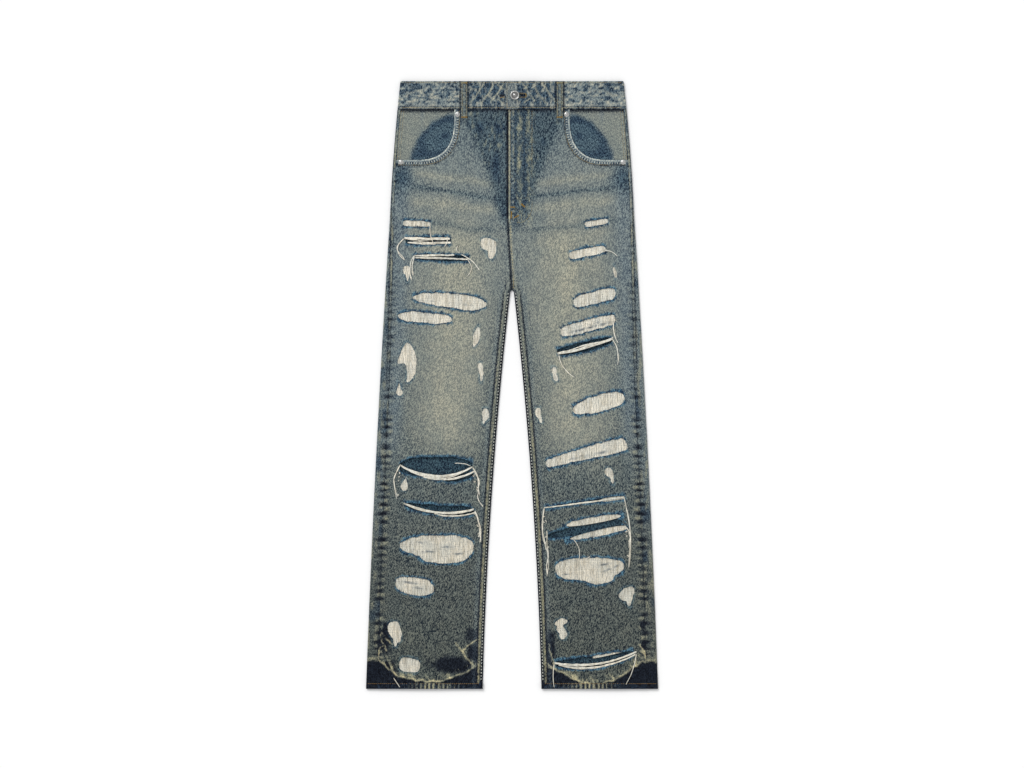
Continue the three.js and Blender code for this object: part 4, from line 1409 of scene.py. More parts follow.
band_y = np.linspace(HALF_LENGTH, WAISTBAND_BOTTOM, BAND_ROWS)
course_x, course_z, normal_x, normal_z = band_course(band_y)
rows_y = np.repeat(band_y[:, None], course_x.shape[1], axis=1)
from_edge = np.minimum(HALF_LENGTH - rows_y, rows_y - WAISTBAND_BOTTOM)
half_cloth = BAND_CLOTH / 2 - 0.5 * np.exp(-from_edge / 0.8)
ripple = 0.22 * uneven(course_x, rows_y, 17, 103) * smooth(0, 5, from_edge)
out_x = course_x + normal_x * half_cloth
out_z = course_z + normal_z * half_cloth
in_x = course_x - normal_x * half_cloth
in_z = course_z - normal_z * half_cloth
facing_up = (normal_z > 0.5).astype(float)
out_z = out_z + ripple * facing_up
colour = band_dye(out_x, rows_y, facing_up)
data = np.concatenate([
    np.stack([out_x, rows_y, out_z, in_x, rows_y, in_z], axis=-1), colour], axis=-1).reshape(-1, 9)
slot_along = np.clip(course_x, HOLE_FROM + HOLE_HALF, HOLE_TO - HOLE_HALF)
hole = np.hypot(course_x - slot_along, rows_y - BUTTON_Y) - HOLE_HALF
is_lap = (np.arange(course_x.shape[1]) < LAP_COLUMNS) + 0 * rows_y > 0
keep = np.where(is_lap, hole, 50).ravel()
faces = halved(grid_faces(*course_x.shape)[:, ::-1])
data, faces = cut_away(data, faces, keep)
points, face_sets = cloth_wall(data[:, :3], data[:, 3:6], faces)
# The band's inner faces take its outer colour painted 20 % darker, as shade.
dye = as_light(np.concatenate([data[:, 6:], data[:, 6:] * 0.8]))
waistband = add_piece("waistband_cloth", (points, face_sets, dye), DENIM, "waistband")

# %% [markdown]
# ## Front loops
#
# A front loop is a strap sewn down at both ends: from the band's top edge over the band, with a
# small step down onto the panel. It is the same strip idea, with the course running along Y.

# %% Front loops
FRONT_LOOPS = {"right": -86.0, "left": 86.0}


def front_loop(loop_x):
    """A strap 12 mm wide whose height follows the band, then the panel."""
    y_rows = np.linspace(HALF_LENGTH - 0.5, LOOP_BOTTOM, 34)
    columns = 11
    y = np.repeat(y_rows[:, None], columns, axis=1)
    x = loop_x + np.linspace(-LOOP_HALF, LOOP_HALF, columns) + 0 * y
    step_down = smooth(WAISTBAND_BOTTOM - 1, WAISTBAND_BOTTOM - 9, y)
    base = BAND_TOP + GAP - (BAND_TOP - HIP_LEVEL - CLOTH) * step_down
    bulge = 0.7 * np.sin(np.pi * np.clip((y - 486) / 58, 0, 1)) * hump(x, loop_x, 5.5)
    edge = np.abs(x - loop_x) / LOOP_HALF
    top = base + CLOTH + bulge - 0.35 * edge ** 6
    faces = grid_faces(*y.shape)[:, ::-1]
    points, face_sets = cloth_wall(places(x, y, top), places(x, y, base + bulge), faces)
    colour = washed(ground(y), [
        (STONE, 0.3 + 0.25 * uneven(x, y, 10, 111)),
        (DEEP_BLUE, 0.6 * hump(edge, 0.42, 0.14)),
        # Painted shade: the loop's outer edges, where they roll down, are darkened to navy.
        (NAVY, 0.8 * smooth(0.85, 1.0, edge)),
    ]).reshape(-1, 3)
    return points, face_sets, as_light(np.concatenate([colour, colour]))


for word, loop_x in FRONT_LOOPS.items():
    add_trim(f"front_loop_cloth_{word}", f"front_loop_{word}", front_loop(loop_x))


# %% [markdown]
# ## Yarns and threads
#
# Every cream thread is a tube carried along a path: a ring of a few points at each place on it.
# Whole sets of threads with the same number of places are made in one go. The yarns that bridge a
# rip run from its upper to its lower edge, side by side, with a few crossing them, and dip over
# and under each other.

# %% Tubes
def tubes(x, y, z, radius, sides=5, flat=1.0):
    """Closed tubes along paths; x, y, z and radius have a row for each path."""
    radius = radius + 0 * x
    paths = np.stack(np.broadcast_arrays(x, y, z), axis=-1)
    count, stops, _ = paths.shape
    along = np.gradient(paths, axis=1)
    along = along / np.linalg.norm(along, axis=2, keepdims=True)
    across = np.cross(along, np.array([0.0, 0.0, 1.0]))
    across = across / np.maximum(np.linalg.norm(across, axis=2, keepdims=True), 1e-6)
    upward = np.cross(across, along)
    angle = 2 * np.pi * np.arange(sides) / sides
    ring = (across[:, :, None] * np.cos(angle)[:, None]
            + upward[:, :, None] * np.sin(angle)[:, None] * flat)
    points = paths[:, :, None] + radius[:, :, None, None] * ring
    one = grid_faces(stops, sides, closed=True)
    start = np.arange(count) * stops * sides
    faces = (one[None] + start[:, None, None]).reshape(-1, 4)
    first = np.arange(sides)
    fan = np.stack([np.zeros(sides - 2, dtype=int), first[1:-1], first[2:]], axis=1)
    last = fan[:, ::-1] + (stops - 1) * sides
    caps = np.concatenate([(fan[None] + start[:, None, None]).reshape(-1, 3),
                           (last[None] + start[:, None, None]).reshape(-1, 3)])
    return points.reshape(-1, 3), [faces[:, ::-1], caps[:, ::-1]]


# Dark marks painted on the bridging yarns as the shade seen through gaps between them: centre X and Y,
# half width, half height, tilt in degrees.
YARN_GAP_SHADE = [
    (166, -323, 9, 1.2, 12), (172, -333, 8, 1.0, 20), (188, -326, 4, 1.0, 30),
    (96, -341, 7, 0.9, 8), (-158, -284, 12, 1.0, -4), (-118, -292, 14, 1.1, 3),
    (-98, -304, 9, 1.0, 5), (-150, -300, 10, 0.9, 2), (-184, -356, 12, 1.0, -8),
    (-168, -366, 10, 1.0, -6), (128, -128, 30, 1.1, 14), (164, -121, 14, 1.0, 16),
    (132, 101, 40, 0.9, 14), (142, 110, 34, 0.7, 13), (150, 106, 26, 0.6, 14),
    (-120, 148, 40, 0.6, -6),
]


def yarn_dye(points, seed):
    """Cream yarn, darker from strand to strand and where the cloth is thin, with painted shade where gaps
    open between yarns.
    """
    tone = smooth(-0.2, 0.7, mottled(points[:, 0], points[:, 1], 1.5, 16, seed))
    tone = tone + 0.3 * np.clip(np.sin(2 * np.pi * points[:, 0] / 3.1), 0, 1)
    thin = smooth(0.2, 1.0, mottled(points[:, 0], points[:, 1], 9, 3, seed + 1))
    soiled = 0.16 * smooth(-60, -260, points[:, 1]) - 0.04
    colour = mixed(all_over(points, CREAM), SHADED_CREAM, 0.45 * tone + 0.15 * thin + soiled)
    # Painted shade of the gaps between yarns.
    for centre_x, centre_y, half_x, half_y, tilt in YARN_GAP_SHADE:
        turn = np.radians(tilt)
        px, py = points[:, 0] - centre_x, points[:, 1] - centre_y
        along = (px * np.cos(turn) + py * np.sin(turn)) / half_x
        across = (-px * np.sin(turn) + py * np.cos(turn)) / half_y
        colour = mixed(colour, DEEP_BLUE, 0.6 * hump(along, 0, 1) * hump(across, 0, 1))
    return as_light(colour)


YARN_PITCH = 1.25
YARN_RADIUS = 0.60
CROSS_PITCH = 3.1
YARN_TUCK = 1.2
HANK_RADIUS = 0.88
HANK_RISE = 0.1


def span_of(reach_function, fixed, low, high, vertical):
    """First and last place between low and high that lies inside, for each fixed coordinate."""
    tries = np.linspace(low, high, 220)
    moving = np.repeat(tries[None, :], len(fixed), axis=0)
    held = np.repeat(fixed[:, None], len(tries), axis=1)
    x, y = (held, moving) if vertical else (moving, held)
    inside = reach_function(x, y) < 0
    any_inside = inside.any(axis=1)
    first = tries[np.argmax(inside, axis=1)]
    last = tries[len(tries) - 1 - np.argmax(inside[:, ::-1], axis=1)]
    return any_inside, first, last


def bridged(reach_function, box, seed):
    """Yarns that bridge the area where the reach is negative, within a box of X and Y.

    Each starts and ends a little under the cloth, by YARN_TUCK.
    """
    x_low, x_high, y_low, y_high = box
    rng = np.random.default_rng(seed)
    parts = []
    stations = np.arange(x_low + 0.4, x_high, YARN_PITCH)
    stations = stations + rng.uniform(-0.12, 0.12, len(stations))
    hit, low, high = span_of(reach_function, stations, y_low, y_high, True)
    stations, low, high = stations[hit], low[hit] - YARN_TUCK, high[hit] + YARN_TUCK
    if len(stations):
        t = np.linspace(0, 1, int(np.clip((high - low).max() / 3.2, 6, 16)))
        y = low[:, None] + (high - low)[:, None] * t
        x = stations[:, None] + 0.22 * uneven(stations[:, None] * 7, y, 14, seed + 1)
        dip = 0.16 * np.sin(2 * np.pi * y / (2 * CROSS_PITCH) + np.pi * np.arange(len(stations))[:, None])
        z = front_top(x, y) - 0.55 + dip - 0.35 * np.sin(np.pi * t)
        radius = YARN_RADIUS * (1 + 0.15 * uneven(stations[:, None] * 5, y, 9, seed + 2))
        parts.append(tubes(x, y, z, radius, 5, 0.8))
    levels = np.arange(y_low + 1.0, y_high, CROSS_PITCH)
    levels = levels + rng.uniform(-0.4, 0.4, len(levels))
    hit, low, high = span_of(reach_function, levels, x_low, x_high, False)
    levels, low, high = levels[hit], low[hit] - YARN_TUCK, high[hit] + YARN_TUCK
    if len(levels):
        t = np.linspace(0, 1, int(np.clip((high - low).max() / 2.6, 6, 44)))
        x = low[:, None] + (high - low)[:, None] * t
        y = levels[:, None] + 0.35 * uneven(x, levels[:, None] * 9, 25, seed + 3)
        z = front_top(x, y) - 0.35 + 0.2 * np.sin(np.pi * x / YARN_PITCH) - 0.35 * np.sin(np.pi * t)
        parts.append(tubes(x, y, z, 0.36, 4, 0.8))
    return joined(parts)


def hank(start, end, sag, width, count, seed):
    """A few yarns side by side from start to end, hanging by sag and crossing each other."""
    rng = np.random.default_rng(seed)
    stops = int(np.clip(np.hypot(end[0] - start[0], end[1] - start[1]) / 3.4, 10, 44))
    t = np.linspace(0, 1, stops)[None, :]
    lane = np.linspace(-0.5, 0.5, count)[:, None]
    turns = rng.uniform(0.6, 1.6, (count, 1))
    phase = rng.uniform(0, 1, (count, 1))
    lane = lane + 0.22 * np.sin(2 * np.pi * (t * turns + phase))
    gather = 0.35 + 0.65 * np.sin(np.pi * t)
    x = start[0] + (end[0] - start[0]) * t + 0 * lane
    y = start[1] + (end[1] - start[1]) * t - 4 * sag * t * (1 - t) + width * lane * gather
    y = y + 0.3 * uneven(x, y + 40 * lane, 12, seed)
    z = front_top(x, y) + HANK_RISE + 0.35 * np.sin(2 * np.pi * t * 3 + 5 * lane)
    thick = HANK_RADIUS * (1 + 0.18 * uneven(x, y, 8, seed + 1))
    return tubes(x, y, z, thick)


# %% [markdown]
# The open slits keep only hanks of yarn along their edges, with the dark inside of the leg
# between. All the other rips are bridged from edge to edge. Each hank has its two ends, its sag,
# its width and how many yarns it has.

# %% Yarns of each rip
# slit: hanks of (start, end, sag, width, yarns)
HANKS = {
    "right_hip_slit": [((-194, 264), (-112, 263), 0.3, 4.2, 5), ((-188, 256), (-110, 256), 0.6, 3.4, 4)],
    "right_thigh_slit": [((-176, 233), (-104, 234), 0.2, 2.0, 3), ((-174, 229), (-78, 226), -0.6, 1.8, 2)],
    "right_knee_slit": [((-202, -144), (-71, -147), 20, 4.6, 6), ((-160, -165), (-68, -156), 9, 2.2, 3)],
    "right_shin_slit": [((-195, -213), (-69, -224), 11, 3.4, 5), ((-140, -231), (-66, -229), 6, 1.6, 2)],
    "left_thigh_slit": [((82, 57), (182, 84), 2.5, 6.4, 7)],
    "left_shin_cut": [((58, -221), (202, -202), 0.4, 1.0, 3)],
    "left_hem_slit": [((75, -500), (224, -480), 12.5, 3.2, 4), ((84, -504), (222, -485), 13.5, 2.0, 3)],
}

# Parts of a slit that are still bridged, as lobes of their own.
BRIDGED_PARTS = {
    "left_shin_slit": [(147, -243, 101, 10, 10, 2.2), (156, -267, 104, 10, 12, 2.2, 0, 0.25)],
    "left_hem_slit": [(177, -483, 66, 3.6, 13, 2.2)],
    "left_shin_cut": [(182, -205, 42, 5, 7, 2.5)],
}


def lobes_box(lobes):
    """The box that holds every lobe with some room to spare."""
    sides = []
    for lobe in lobes:
        centre_x, centre_y, length, height, tilt, _, bow, _ = (*lobe, 0, 0)[:8]
        reach_x = abs(length / 2 * np.cos(np.radians(tilt))) + height / 2
        reach_y = abs(length / 2 * np.sin(np.radians(tilt))) + height / 2 * 1.4 + abs(bow)
        sides.append((centre_x - reach_x, centre_x + reach_x, centre_y - reach_y, centre_y + reach_y))
    x_low, x_high, y_low, y_high = zip(*sides)
    return min(x_low), max(x_high), min(y_low), max(y_high)


bridged_nodes = [row["node"] for row in frame["record"]["subparts"] if row["node"].startswith("yarns_")]
yarn_pieces = {"right": [], "left": []}
seed = 200
for name, lobes in RIPS.items():
    word = name.split("_")[0]
    seed += 7
    parts = []
    if name in BRIDGED_PARTS:
        for lobe in BRIDGED_PARTS[name]:
            parts.append(bridged(lambda x, y: lobe_reach(x, y, lobe), lobes_box([lobe]), seed))
    elif name not in HANKS:
        parts.append(bridged(lambda x, y: rip_reach(name, x, y), lobes_box(lobes), seed))
    for k, strands in enumerate(HANKS.get(name, [])):
        parts.append(hank(*strands, seed + 31 * (k + 1)))
    points, face_sets = joined(parts)
    made = (points, face_sets, yarn_dye(points, seed))
    node = f"yarns_{name}" if f"yarns_{name}" in bridged_nodes else None
    yarn_pieces[word].append(add_piece(f"yarn_bridge_{name}", made, YARN, node, ALL_ROUND))

# %% [markdown]
# ## Loose threads
#
# Where a yarn has pulled out it trails over the cloth. A thread goes from its start to its end
# with a bulge to one side, wanders a little, and thins to its tip. A frayed one is several fine
# threads that keep crossing, with short curls standing out of it.

# %% Loose threads
# (start, end, bulge to the right of its way, yarns, fray in millimetres)
LOOSE = {
    "right": [
        ((-147, 288), (-141, 255), 3, 1, 0.2), ((-194, 264), (-193, 224), 13, 3, 0.9),
        ((-117, 268), (-123, 246), -3, 1, 0.2), ((-176, 233), (-182, 188), 5, 3, 1.0),
        ((-175, 232), (-178, 197), 3, 2, 0.8), ((-92, 235), (-58, 206), -4, 2, 0.5),
        ((-80, 226), (-80, 193), -7, 1, 0.3), ((-97, 251), (-94, 236), 4, 1, 0.2),
        ((-201, -144), (-206, -206), 9, 3, 1.0), ((-72, -147), (-60, -200), -6, 4, 1.8),
        ((-62, -196), (-51, -220), 3, 2, 0.5), ((-67, -226), (-57, -284), -4, 4, 1.7),
        ((-213, -527), (-201, -545), 0, 1, 0.1), ((-103, -141), (-72, -146), -2, 1, 0.4),
    ],
    "left": [
        ((165, 242), (190, 232), -3, 1, 0.3), ((185, 120), (191, 74), 5, 2, 0.6),
        ((84, 54), (113, 13), 6, 2, 0.6), ((180, 84), (191, 35), -5, 2, 0.7),
        ((58, -221), (62, -300), 5, 3, 1.2), ((62, -262), (63, -348), -2, 4, 1.6),
        ((202, -202), (211, -330), -6, 3, 1.1), ((203, -252), (212, -292), -5, 3, 1.5),
        ((110, -277), (121, -313), -5, 1, 0.2), ((128, -311), (141, -308), 2, 1, 0.2),
        ((76, -502), (76, -545), 2, 1, 0.2), ((224, -484), (203, -545), -3, 1, 0.2),
    ],
}


def loose_thread(start, end, bulge, count, fray, seed):
    """Threads from start to end with a sideways bulge, crossing within the width of the fray."""
    rng = np.random.default_rng(seed)
    way = np.array(end, dtype=float) - np.array(start, dtype=float)
    length = np.hypot(*way)
    sideways = np.array([way[1], -way[0]]) / length
    t = np.linspace(0, 1, int(np.clip(length / 2.2, 8, 44)))[None, :]
    turns = rng.uniform(0.8, 2.4, (count, 1))
    phase = rng.uniform(0, 2 * np.pi, (count, 1))
    stray = fray * np.sin(2 * np.pi * turns * t + phase) * (0.35 + 0.65 * t)
    shift = bulge * np.sin(np.pi * t) + stray
    reach_t = t * rng.uniform(0.9, 1.0, (count, 1))
    x = start[0] + way[0] * reach_t + sideways[0] * shift
    y = start[1] + way[1] * reach_t + sideways[1] * shift
    thick = 0.78 * (1 - 0.4 * t ** 3)
    z = front_top(x, y) + 0.85 + 0.4 * np.abs(np.sin(2 * np.pi * turns * t * 1.3 + phase))
    z = np.where(y < -HALF_LENGTH + 3, z - 0.4, z)
    return tubes(x, y, z, thick)


for word in SIDES:
    parts = []
    for k, (start, end, bulge, count, fray) in enumerate(LOOSE[word]):
        parts.append(loose_thread(start, end, bulge, count, fray, 700 + 13 * k))
        if fray > 0.9:
            rng = np.random.default_rng(800 + k)
            for _ in range(int(4 * fray)):
                share = rng.uniform(0.1, 0.95)
                at = np.array(start) + (np.array(end) - np.array(start)) * share
                tip = at + rng.uniform(-4.5, 4.5, 2)
                bend = rng.uniform(-2, 2)
                parts.append(loose_thread(at, tip, bend, 1, 0.3, int(rng.integers(1e6))))
    points, face_sets = joined(parts)
    made = (points, face_sets, yarn_dye(points, 650))
    add_piece(f"loose_threads_{word}", made, YARN, None, ALL_ROUND)

# %% [markdown]
# ## Fringe
#
# Short blue hairs stand along the upper and lower edges of the rips, where the dark warp was cut.
# They are fine tubes from the edge into the opening or back over the cloth.

# %% Fringe
FRINGE_PITCH = 2.0
HAIR_STOPS = 4
HAIR_SIDES = 4


def rip_fringe(name, seed):
    """Hairs at the upper and lower edge of a rip, pointing out of the cloth's edge."""
    rng = np.random.default_rng(seed)
    box = lobes_box(RIPS[name])
    stations = np.arange(box[0], box[1], FRINGE_PITCH)
    stations = stations + rng.uniform(-0.7, 0.7, len(stations))
    hit, low, high = span_of(lambda x, y: rip_reach(name, x, y), stations, box[2], box[3], True)
    stations, low, high = stations[hit], low[hit], high[hit]
    parts = []
    for edge, into in ((low, 1), (high, -1)):
        length = rng.uniform(1.0, 2.8, len(edge))
        back = rng.uniform(0.8, 2.0, len(edge))
        lean = rng.uniform(-1.2, 1.2, len(edge))
        t = np.linspace(0, 1, HAIR_STOPS)[None, :]
        x = stations[:, None] + lean[:, None] * t
        y = (edge - into * back)[:, None] + into * length[:, None] * t
        z = front_top(x, y) + 0.35 + 0.5 * np.sin(np.pi * t)
        parts.append(tubes(x, y, z, 0.40 * (1 - 0.5 * t), HAIR_SIDES))
    return parts


for word in SIDES:
    parts = []
    for k, name in enumerate(RIPS):
        if name.startswith(word) and not any(spot in name for spot in SPOTS):
            parts += rip_fringe(name, 900 + k)
    points, face_sets = joined(parts)
    hair_points = HAIR_STOPS * HAIR_SIDES
    tone = np.random.default_rng(5).uniform(0, 1, len(points) // hair_points + 1)
    tone = tone.repeat(hair_points)[:len(points)]
    colour = mixed(all_over(points, TORN_BLUE), DEEP_BLUE, 0.9 * tone)
    made = (points, face_sets, as_light(colour))
    add_piece(f"rip_fringe_{word}", made, YARN, None, ALL_ROUND)


# %% [markdown]
# ## Stitches
#
# A lockstitch shows as short dashes of thread that sink into the cloth at each end. One stitch is
# a little tube, thicker in its middle. A row of them follows a route at an even pitch, rungs stand
# across the puckered edge of the pocket, and bar tacks are the same stitch packed side by side.

# %% Stitches
TACK_PITCH = 0.75
BAND_STITCH_ROWS = [
    (LAP_END_X + 2, -80, 544), (-92, -198, 544), (LAP_END_X + 2, 80, 544), (92, 198, 544),
    (-200, -92, 499), (-80, -14, 499), (-10, 80, 499), (92, 200, 499),
]
J_CENTRE = (12.0, 322.0)
J_RADII = (24.0, 30.0)


def along_route(route, pitch):
    """Places at an even pitch along a route of points, with the direction at each."""
    route = np.asarray(route, dtype=float)
    step = np.hypot(*np.diff(route, axis=0).T)
    at = np.concatenate([[0], np.cumsum(step)])
    wanted = np.arange(pitch / 2, at[-1] - pitch / 3, pitch)
    x = np.interp(wanted, at, route[:, 0])
    y = np.interp(wanted, at, route[:, 1])
    ahead = np.clip(wanted + 0.5, 0, at[-1])
    dx = np.interp(ahead, at, route[:, 0]) - x
    dy = np.interp(ahead, at, route[:, 1]) - y
    size = np.maximum(np.hypot(dx, dy), 1e-6)
    return x, y, dx / size, dy / size


def dashes(x, y, dx, dy, length, top_function, lift, sink, radius, thinning, flat=0.8):
    """Bits of thread through places x, y along dx, dy, which sink in and thin at both ends."""
    t = np.linspace(-0.5, 0.5, 4)[None, :]
    px = x[:, None] + dx[:, None] * length * t
    py = y[:, None] + dy[:, None] * length * t
    pz = top_function(px, py) + lift - sink * t ** 2
    return tubes(px, py, pz, radius * (1 - thinning * t ** 2), 4, flat)


def stitch_row(route, top_function, pitch=3.4, length=2.5, radius=0.42):
    """Dashes of thread along a route, lying on the surface that top_function gives."""
    x, y, dx, dy = along_route(route, pitch)
    return dashes(x, y, dx, dy, length, top_function, 0.12, 1.4, radius, 1.2)


def rungs(route, top_function, pitch, length, radius):
    """Short bars across a route, like a ladder's rungs, where a seam's edge is puckered."""
    x, y, dx, dy = along_route(route, pitch)
    return dashes(x, y, -dy, dx, length, top_function, 0.1, 1.2, radius, 1.0)


def bar_tack(centre, size, turn, top_function):
    """Close stitches across a bar: size is its length and width, turn its angle."""
    offset = np.linspace(-size[0] / 2, size[0] / 2, int(size[0] / TACK_PITCH))
    dx = np.cos(turn) + 0 * offset
    dy = np.sin(turn) + 0 * offset
    x = centre[0] + dx * offset
    y = centre[1] + dy * offset
    return dashes(x, y, -dy, dx, size[1], top_function, 0.35, 0.9, 0.42, 0.0, 1.0)


def left_panel_top(x, y):
    """The left front at the fly, where it lies a layer higher."""
    return front_level(y) + crown(leg_share(x, y), y) + fly_lift(x, y) + CLOTH


def hem_top(x, y):
    """The hem's outer face, which stands up by its doubled cloth."""
    return front_top(x, y) + 0.65


def facing_top(x, y):
    """Top of a pocket facing beside the side seam."""
    return HIP_LEVEL - GAP + facing_lift(np.abs(x), y)


def band_top(x, y):
    """Top of the waistband: raised at the lap."""
    raised = (1 - smooth(LAP_FLAT_X, LAP_FOOT_X, x)) * (x > LAP_END_X)
    return BAND_TOP + (BAND_CLOTH + GAP) * raised + 0 * y


def loop_top(x, y):
    """Top of a front loop."""
    step_down = smooth(WAISTBAND_BOTTOM - 1, WAISTBAND_BOTTOM - 9, y)
    return BAND_TOP + GAP + CLOTH + 0.5 - (BAND_TOP - HIP_LEVEL - CLOTH) * step_down


def scoop_route(margin, side):
    """The pocket mouth's curve moved out by a margin, from the band to the side."""
    angle = np.linspace(0, np.pi / 2, 60)
    across = (SCOOP_ACROSS + margin) * np.cos(angle) ** (2 / SCOOP_POWER)
    down = (SCOOP_DOWN + margin) * np.sin(angle) ** (2 / SCOOP_POWER)
    start = [[side * (SCOOP_X - SCOOP_ACROSS - margin), WAISTBAND_BOTTOM - 2]]
    end = [[side * (outseam_x(np.array(400.0)) - 2), SCOOP_Y - SCOOP_DOWN - margin]]
    curve = np.stack([side * (SCOOP_X - across), SCOOP_Y - down], axis=1)
    return np.concatenate([start, curve, end])


def j_route():
    """The fly's J: straight down, then round a quarter of an oval to the edge."""
    angle = np.linspace(0, -np.pi / 2 - 0.15, 30)
    bend_x = J_CENTRE[0] + J_RADII[0] * np.cos(angle)
    bend_y = J_CENTRE[1] + J_RADII[1] * np.sin(angle)
    return np.concatenate([[[J_CENTRE[0] + J_RADII[0], 494]], np.stack([bend_x, bend_y], axis=1)])


tan, dark, rust, pale, hem = [], [], [], [], []
for from_x, to_x, row_y in BAND_STITCH_ROWS:
    tan.append(stitch_row([(from_x, row_y), (to_x, row_y)], band_top))
tan.append(stitch_row([(-9, 498), (-9, 545)], band_top))
for loop_x in FRONT_LOOPS.values():
    for edge in (-3.6, 3.6):
        tan.append(stitch_row([(loop_x + edge, 542), (loop_x + edge, 483)], loop_top))
    tan.append(bar_tack((loop_x, 543.6), (10, 2.2), 0, loop_top))
    rust.append(bar_tack((loop_x, 482), (10, 2.2), 0, loop_top))

centre_y = np.linspace(286, 174, 30)
centre_x = FLY_EDGE_X * smooth(CROTCH_Y, FLY_BOTTOM, centre_y) + 3.0
tan.append(stitch_row(j_route(), left_panel_top, 3.3, 2.3, 0.36))
tan.append(stitch_row([(-3.2, 494), (-3.2, 292)], left_panel_top, 3.4, 2.4, 0.36))
tan.append(stitch_row(np.stack([centre_x, centre_y], axis=1), left_panel_top, 3.4, 2.4, 0.36))
rust.append(bar_tack((20, 323), (8, 2.8), -0.7, left_panel_top))
rust.append(bar_tack((1, 320), (8, 2.2), 0.0, left_panel_top))
rust.append(bar_tack((-1, 306), (12, 2.0), 1.5, left_panel_top))
rust.append(bar_tack((8, 303), (10, 1.8), 0.5, left_panel_top))
dark.append(bar_tack((-18, BUTTON_Y), (9, 3.2), 0.1, band_top))
rust.append(bar_tack((-17, BUTTON_Y - 3.2), (7, 1.4), 0.2, band_top))

leg_y = np.linspace(CROTCH_Y - 3, HEM_FOLD_Y + 3, 90)
hem_x = np.linspace(SLOT_HEM + 2, HALF_HEM - 3, 60)
side_y = np.linspace(494, 404, 30)
for side in SIDES.values():
    tan.append(stitch_row(scoop_route(9.0, side), front_top, 3.2, 2.3, 0.45))
    pale.append(rungs(scoop_route(5.6, side), front_top, 4.6, 3.6, 0.75))
    inseam_route = np.stack([side * (inseam_x(leg_y) + 3.2), leg_y], axis=1)
    pale.append(stitch_row(inseam_route, front_top, 5.7, 2.6, 0.8))
    hem_route = np.stack([side * hem_x, HEM_FOLD_Y - 1.5 + 0 * hem_x], axis=1)
    hem.append(stitch_row(hem_route, hem_top, 3.6, 2.7, 0.40))
    for inset in (2.0, 6.4):
        side_route = np.stack([side * (outseam_x(side_y) - inset), side_y], axis=1)
        tan.append(stitch_row(side_route, facing_top, 3.4, 2.3, 0.34))

for tone, parts, colour in [
        ("tan", tan, OCHRE), ("dark", dark, NAVY), ("rust", rust, RUST),
        ("pale", pale, card(196, 198, 188)), ("hem", hem, card(138, 106, 56))]:
    points, face_sets = joined(parts)
    faded = smooth(-0.2, 0.6, mottled(points[:, 0], points[:, 1], 8, 8, 121))
    dye = as_light(mixed(all_over(points, colour), STONE, 0.75 * (tone == "tan") * faded))
    add_piece(f"stitches_{tone}", (points, face_sets, dye), YARN, None, ALL_ROUND)


# %% [markdown]
# ## Buttonhole
#
# The slot is edged with close thread: stitches stand all round it, packed side by side.

# %% Buttonhole thread
def buttonhole():
    """Stitches across the slot's edge at each place round it."""
    turn = np.linspace(0, 2 * np.pi, 90, endpoint=False)
    middle = (HOLE_FROM + HOLE_TO) / 2
    half_run = (HOLE_TO - HOLE_FROM) / 2 - HOLE_HALF
    x = middle + np.sign(np.cos(turn)) * half_run + HOLE_HALF * np.cos(turn)
    edge_x = np.where(np.abs(np.cos(turn)) < 0.35, middle + half_run * np.cos(turn) / 0.35, x)
    y = BUTTON_Y + HOLE_HALF * np.sin(turn)
    t = np.linspace(0, 1, 4)[None, :]
    reach_out = 2.4
    px = edge_x[:, None] + reach_out * (t - 0.1) * np.cos(turn)[:, None] * 0.7
    py = y[:, None] + reach_out * (t - 0.1) * np.sin(turn)[:, None]
    pz = band_top(px, py) + 0.25 - 0.9 * (t - 0.5) ** 2
    return tubes(px, py, pz, 0.45, 4)


points, face_sets = buttonhole()
dye = as_light(all_over(points, mixed(RUST[None], DEEP_BLUE, np.array([0.2]))))
add_piece("buttonhole_thread", (points, face_sets, dye), YARN, None, ALL_ROUND)


# %% [markdown]
# ## Metal
#
# The waist button and four rivets are nickel. They are turned parts, a profile carried round an
# axis, and each replaces its faceted CAD solid with the same sizes and softer edges. The button
# is plain: a rim, a dished face and a small dome.

# %% Metal
def metal_material(name, colour, roughness):
    """Satin nickel with fine scratches in its roughness, over the piece's dye colour, which is darker in
    its low places.
    """
    material = bpy.data.materials.new(name)
    material.use_nodes = True
    tree = material.node_tree
    shader = tree.nodes["Principled BSDF"]
    shader.inputs["Metallic"].default_value = 1.0
    coords = tree.nodes.new("ShaderNodeTexCoord").outputs["Object"]
    scratches = stretched_noise(tree, coords, (0.3, 2.0, 1.0), 0.8, 3.0, "scratches")
    tree.links.new(spread(tree, scratches, 0.3, 0.7, roughness - 0.08, roughness + 0.12),
                   shader.inputs["Roughness"])
    dye_node = tree.nodes.new("ShaderNodeAttribute")
    dye_node.attribute_name = "dye"
    dulled = spread(tree, scratches, 0.4, 0.8, 0.0, 0.18)
    tint = blended(tree, dulled, dye_node.outputs["Color"], colour * 0.4)
    tree.links.new(tint, shader.inputs["Base Color"])
    return material


NICKEL_COLOUR = as_light(card(205, 205, 203))
DARK_METAL = as_light(card(70, 70, 72))
NICKEL = metal_material("satin nickel", NICKEL_COLOUR, 0.28)


def turned(profile, x, y, z, steps=48):
    """A profile of [radius, height] places carried round a standing axis and closed at both ends."""
    profile = np.asarray(profile, dtype=float)
    body = profile[1:-1]
    angle = 2 * np.pi * np.arange(steps) / steps
    rings = places(x + body[:, 0:1] * np.cos(angle), y + body[:, 0:1] * np.sin(angle), z + body[:, 1:2])
    points = np.concatenate([rings, [[x, y, z + profile[0, 1]], [x, y, z + profile[-1, 1]]]])
    faces = grid_faces(len(body), steps, closed=True)
    low, high = len(rings), len(rings) + 1
    this = np.arange(steps)
    following = np.roll(this, -1)
    last = (len(body) - 1) * steps
    bottom = np.stack([np.full(steps, low), following, this], axis=1)
    top = np.stack([np.full(steps, high), last + this, last + following], axis=1)
    return points, [faces, np.concatenate([bottom, top])]


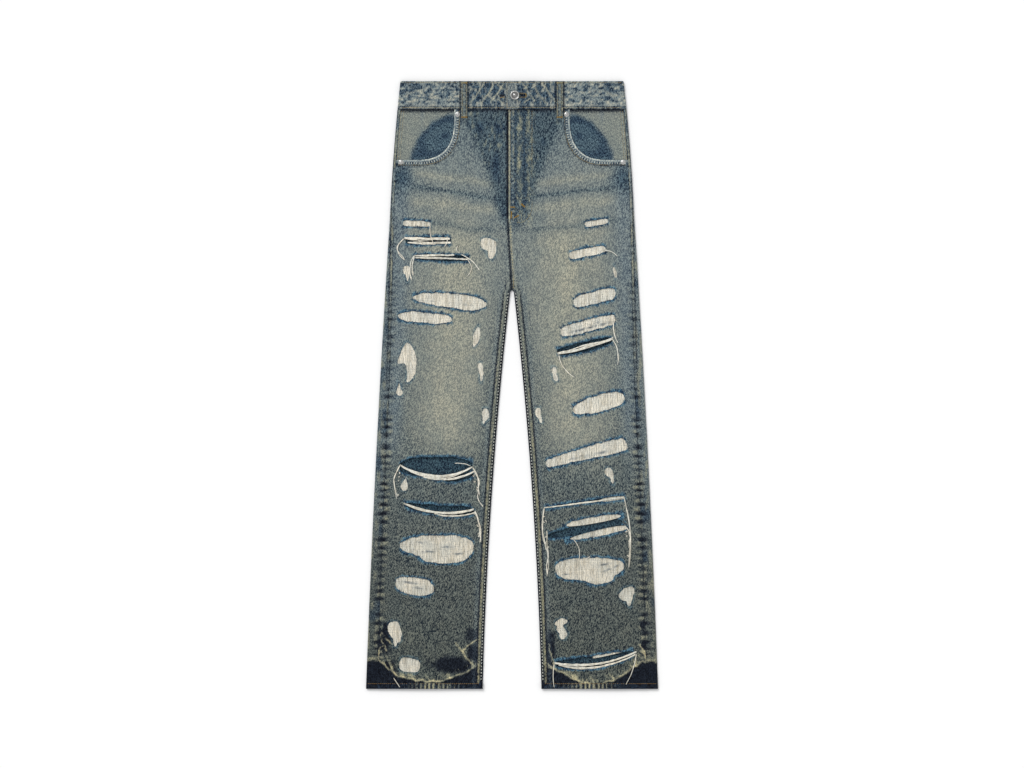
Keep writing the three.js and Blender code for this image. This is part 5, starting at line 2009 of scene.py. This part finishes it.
def rounded_profile(corners):
    """Each inner corner of a profile replaced by three places, so that it catches light."""
    corners = np.asarray(corners, dtype=float)
    out = [corners[0]]
    for before, here, after in zip(corners[:-2], corners[1:-1], corners[2:]):
        back = (before - here) / max(np.hypot(*(before - here)), 1e-6)
        on = (after - here) / max(np.hypot(*(after - here)), 1e-6)
        cut = min(0.35, np.hypot(*(before - here)) / 3, np.hypot(*(after - here)) / 3)
        out += [here + back * cut, here + (back + on) * cut * 0.25, here + on * cut]
    out.append(corners[-1])
    return np.array(out)


BUTTON_BASE = BAND_TOP + GAP
METAL_EDGE = 0.6
button_profile = rounded_profile([
    [0, 0], [2.2, 0], [2.2, 2.8], [7.6, 2.8], [8.2, 3.4], [8.2, 4.8], [7.5, 5.6], [6.6, 5.6],
    [5.6, 4.2], [3.2, 4.0], [2.4, 4.6], [1.2, 4.9], [0, 4.95]])
points, face_sets = turned(button_profile, BUTTON_X, BUTTON_Y, BUTTON_BASE, 64)
radius = np.hypot(points[:, 0] - BUTTON_X, points[:, 1] - BUTTON_Y)
dished = smooth(6.4, 5.4, radius) * (points[:, 2] > BUTTON_BASE + 3.6)
# The dished face is coloured darker, most in a ring 4.4 mm from the centre.
darker_dish = 0.95 * dished * (0.45 + 0.55 * hump(radius, 4.4, 1.4))
dye = mixed(all_over(points, NICKEL_COLOUR), DARK_METAL, darker_dish)
add_piece("waist_button_metal", (points, face_sets, dye), NICKEL, "waist_button", METAL_EDGE)

rivet_profile = rounded_profile([
    [0, 0], [4.4, 0], [4.4, 0.5], [3.3, 1.2], [1.9, 1.15], [1.4, 1.5], [0, 1.5]])
for word, side in SIDES.items():
    for level, (rivet_x, rivet_y) in {"upper": (98, 487), "lower": (200, 401)}.items():
        base = HIP_LEVEL + CLOTH + GAP
        points, face_sets = turned(rivet_profile, side * rivet_x, rivet_y, base, 32)
        radius = np.hypot(points[:, 0] - side * rivet_x, points[:, 1] - rivet_y)
        dye = mixed(all_over(points, NICKEL_COLOUR), DARK_METAL, 0.5 * hump(radius, 2.1, 0.5))
        name = f"rivet_{level}_{word}"
        add_piece(f"{name}_metal", (points, face_sets, dye), NICKEL, name, METAL_EDGE)

# %% [markdown]
# ## The cut
#
# Every piece of cloth is declared with the size it was cut to before sewing, what it rests on
# and, for the front panels, the yarns and threads that belong to it.

# %% [markdown]
# ## Outer sizes
#
# The boxes of the frame and of these pieces go into a small file, to be compared.

# %% Triangle count
print("triangles in all:", sum(triangles_made.values()))
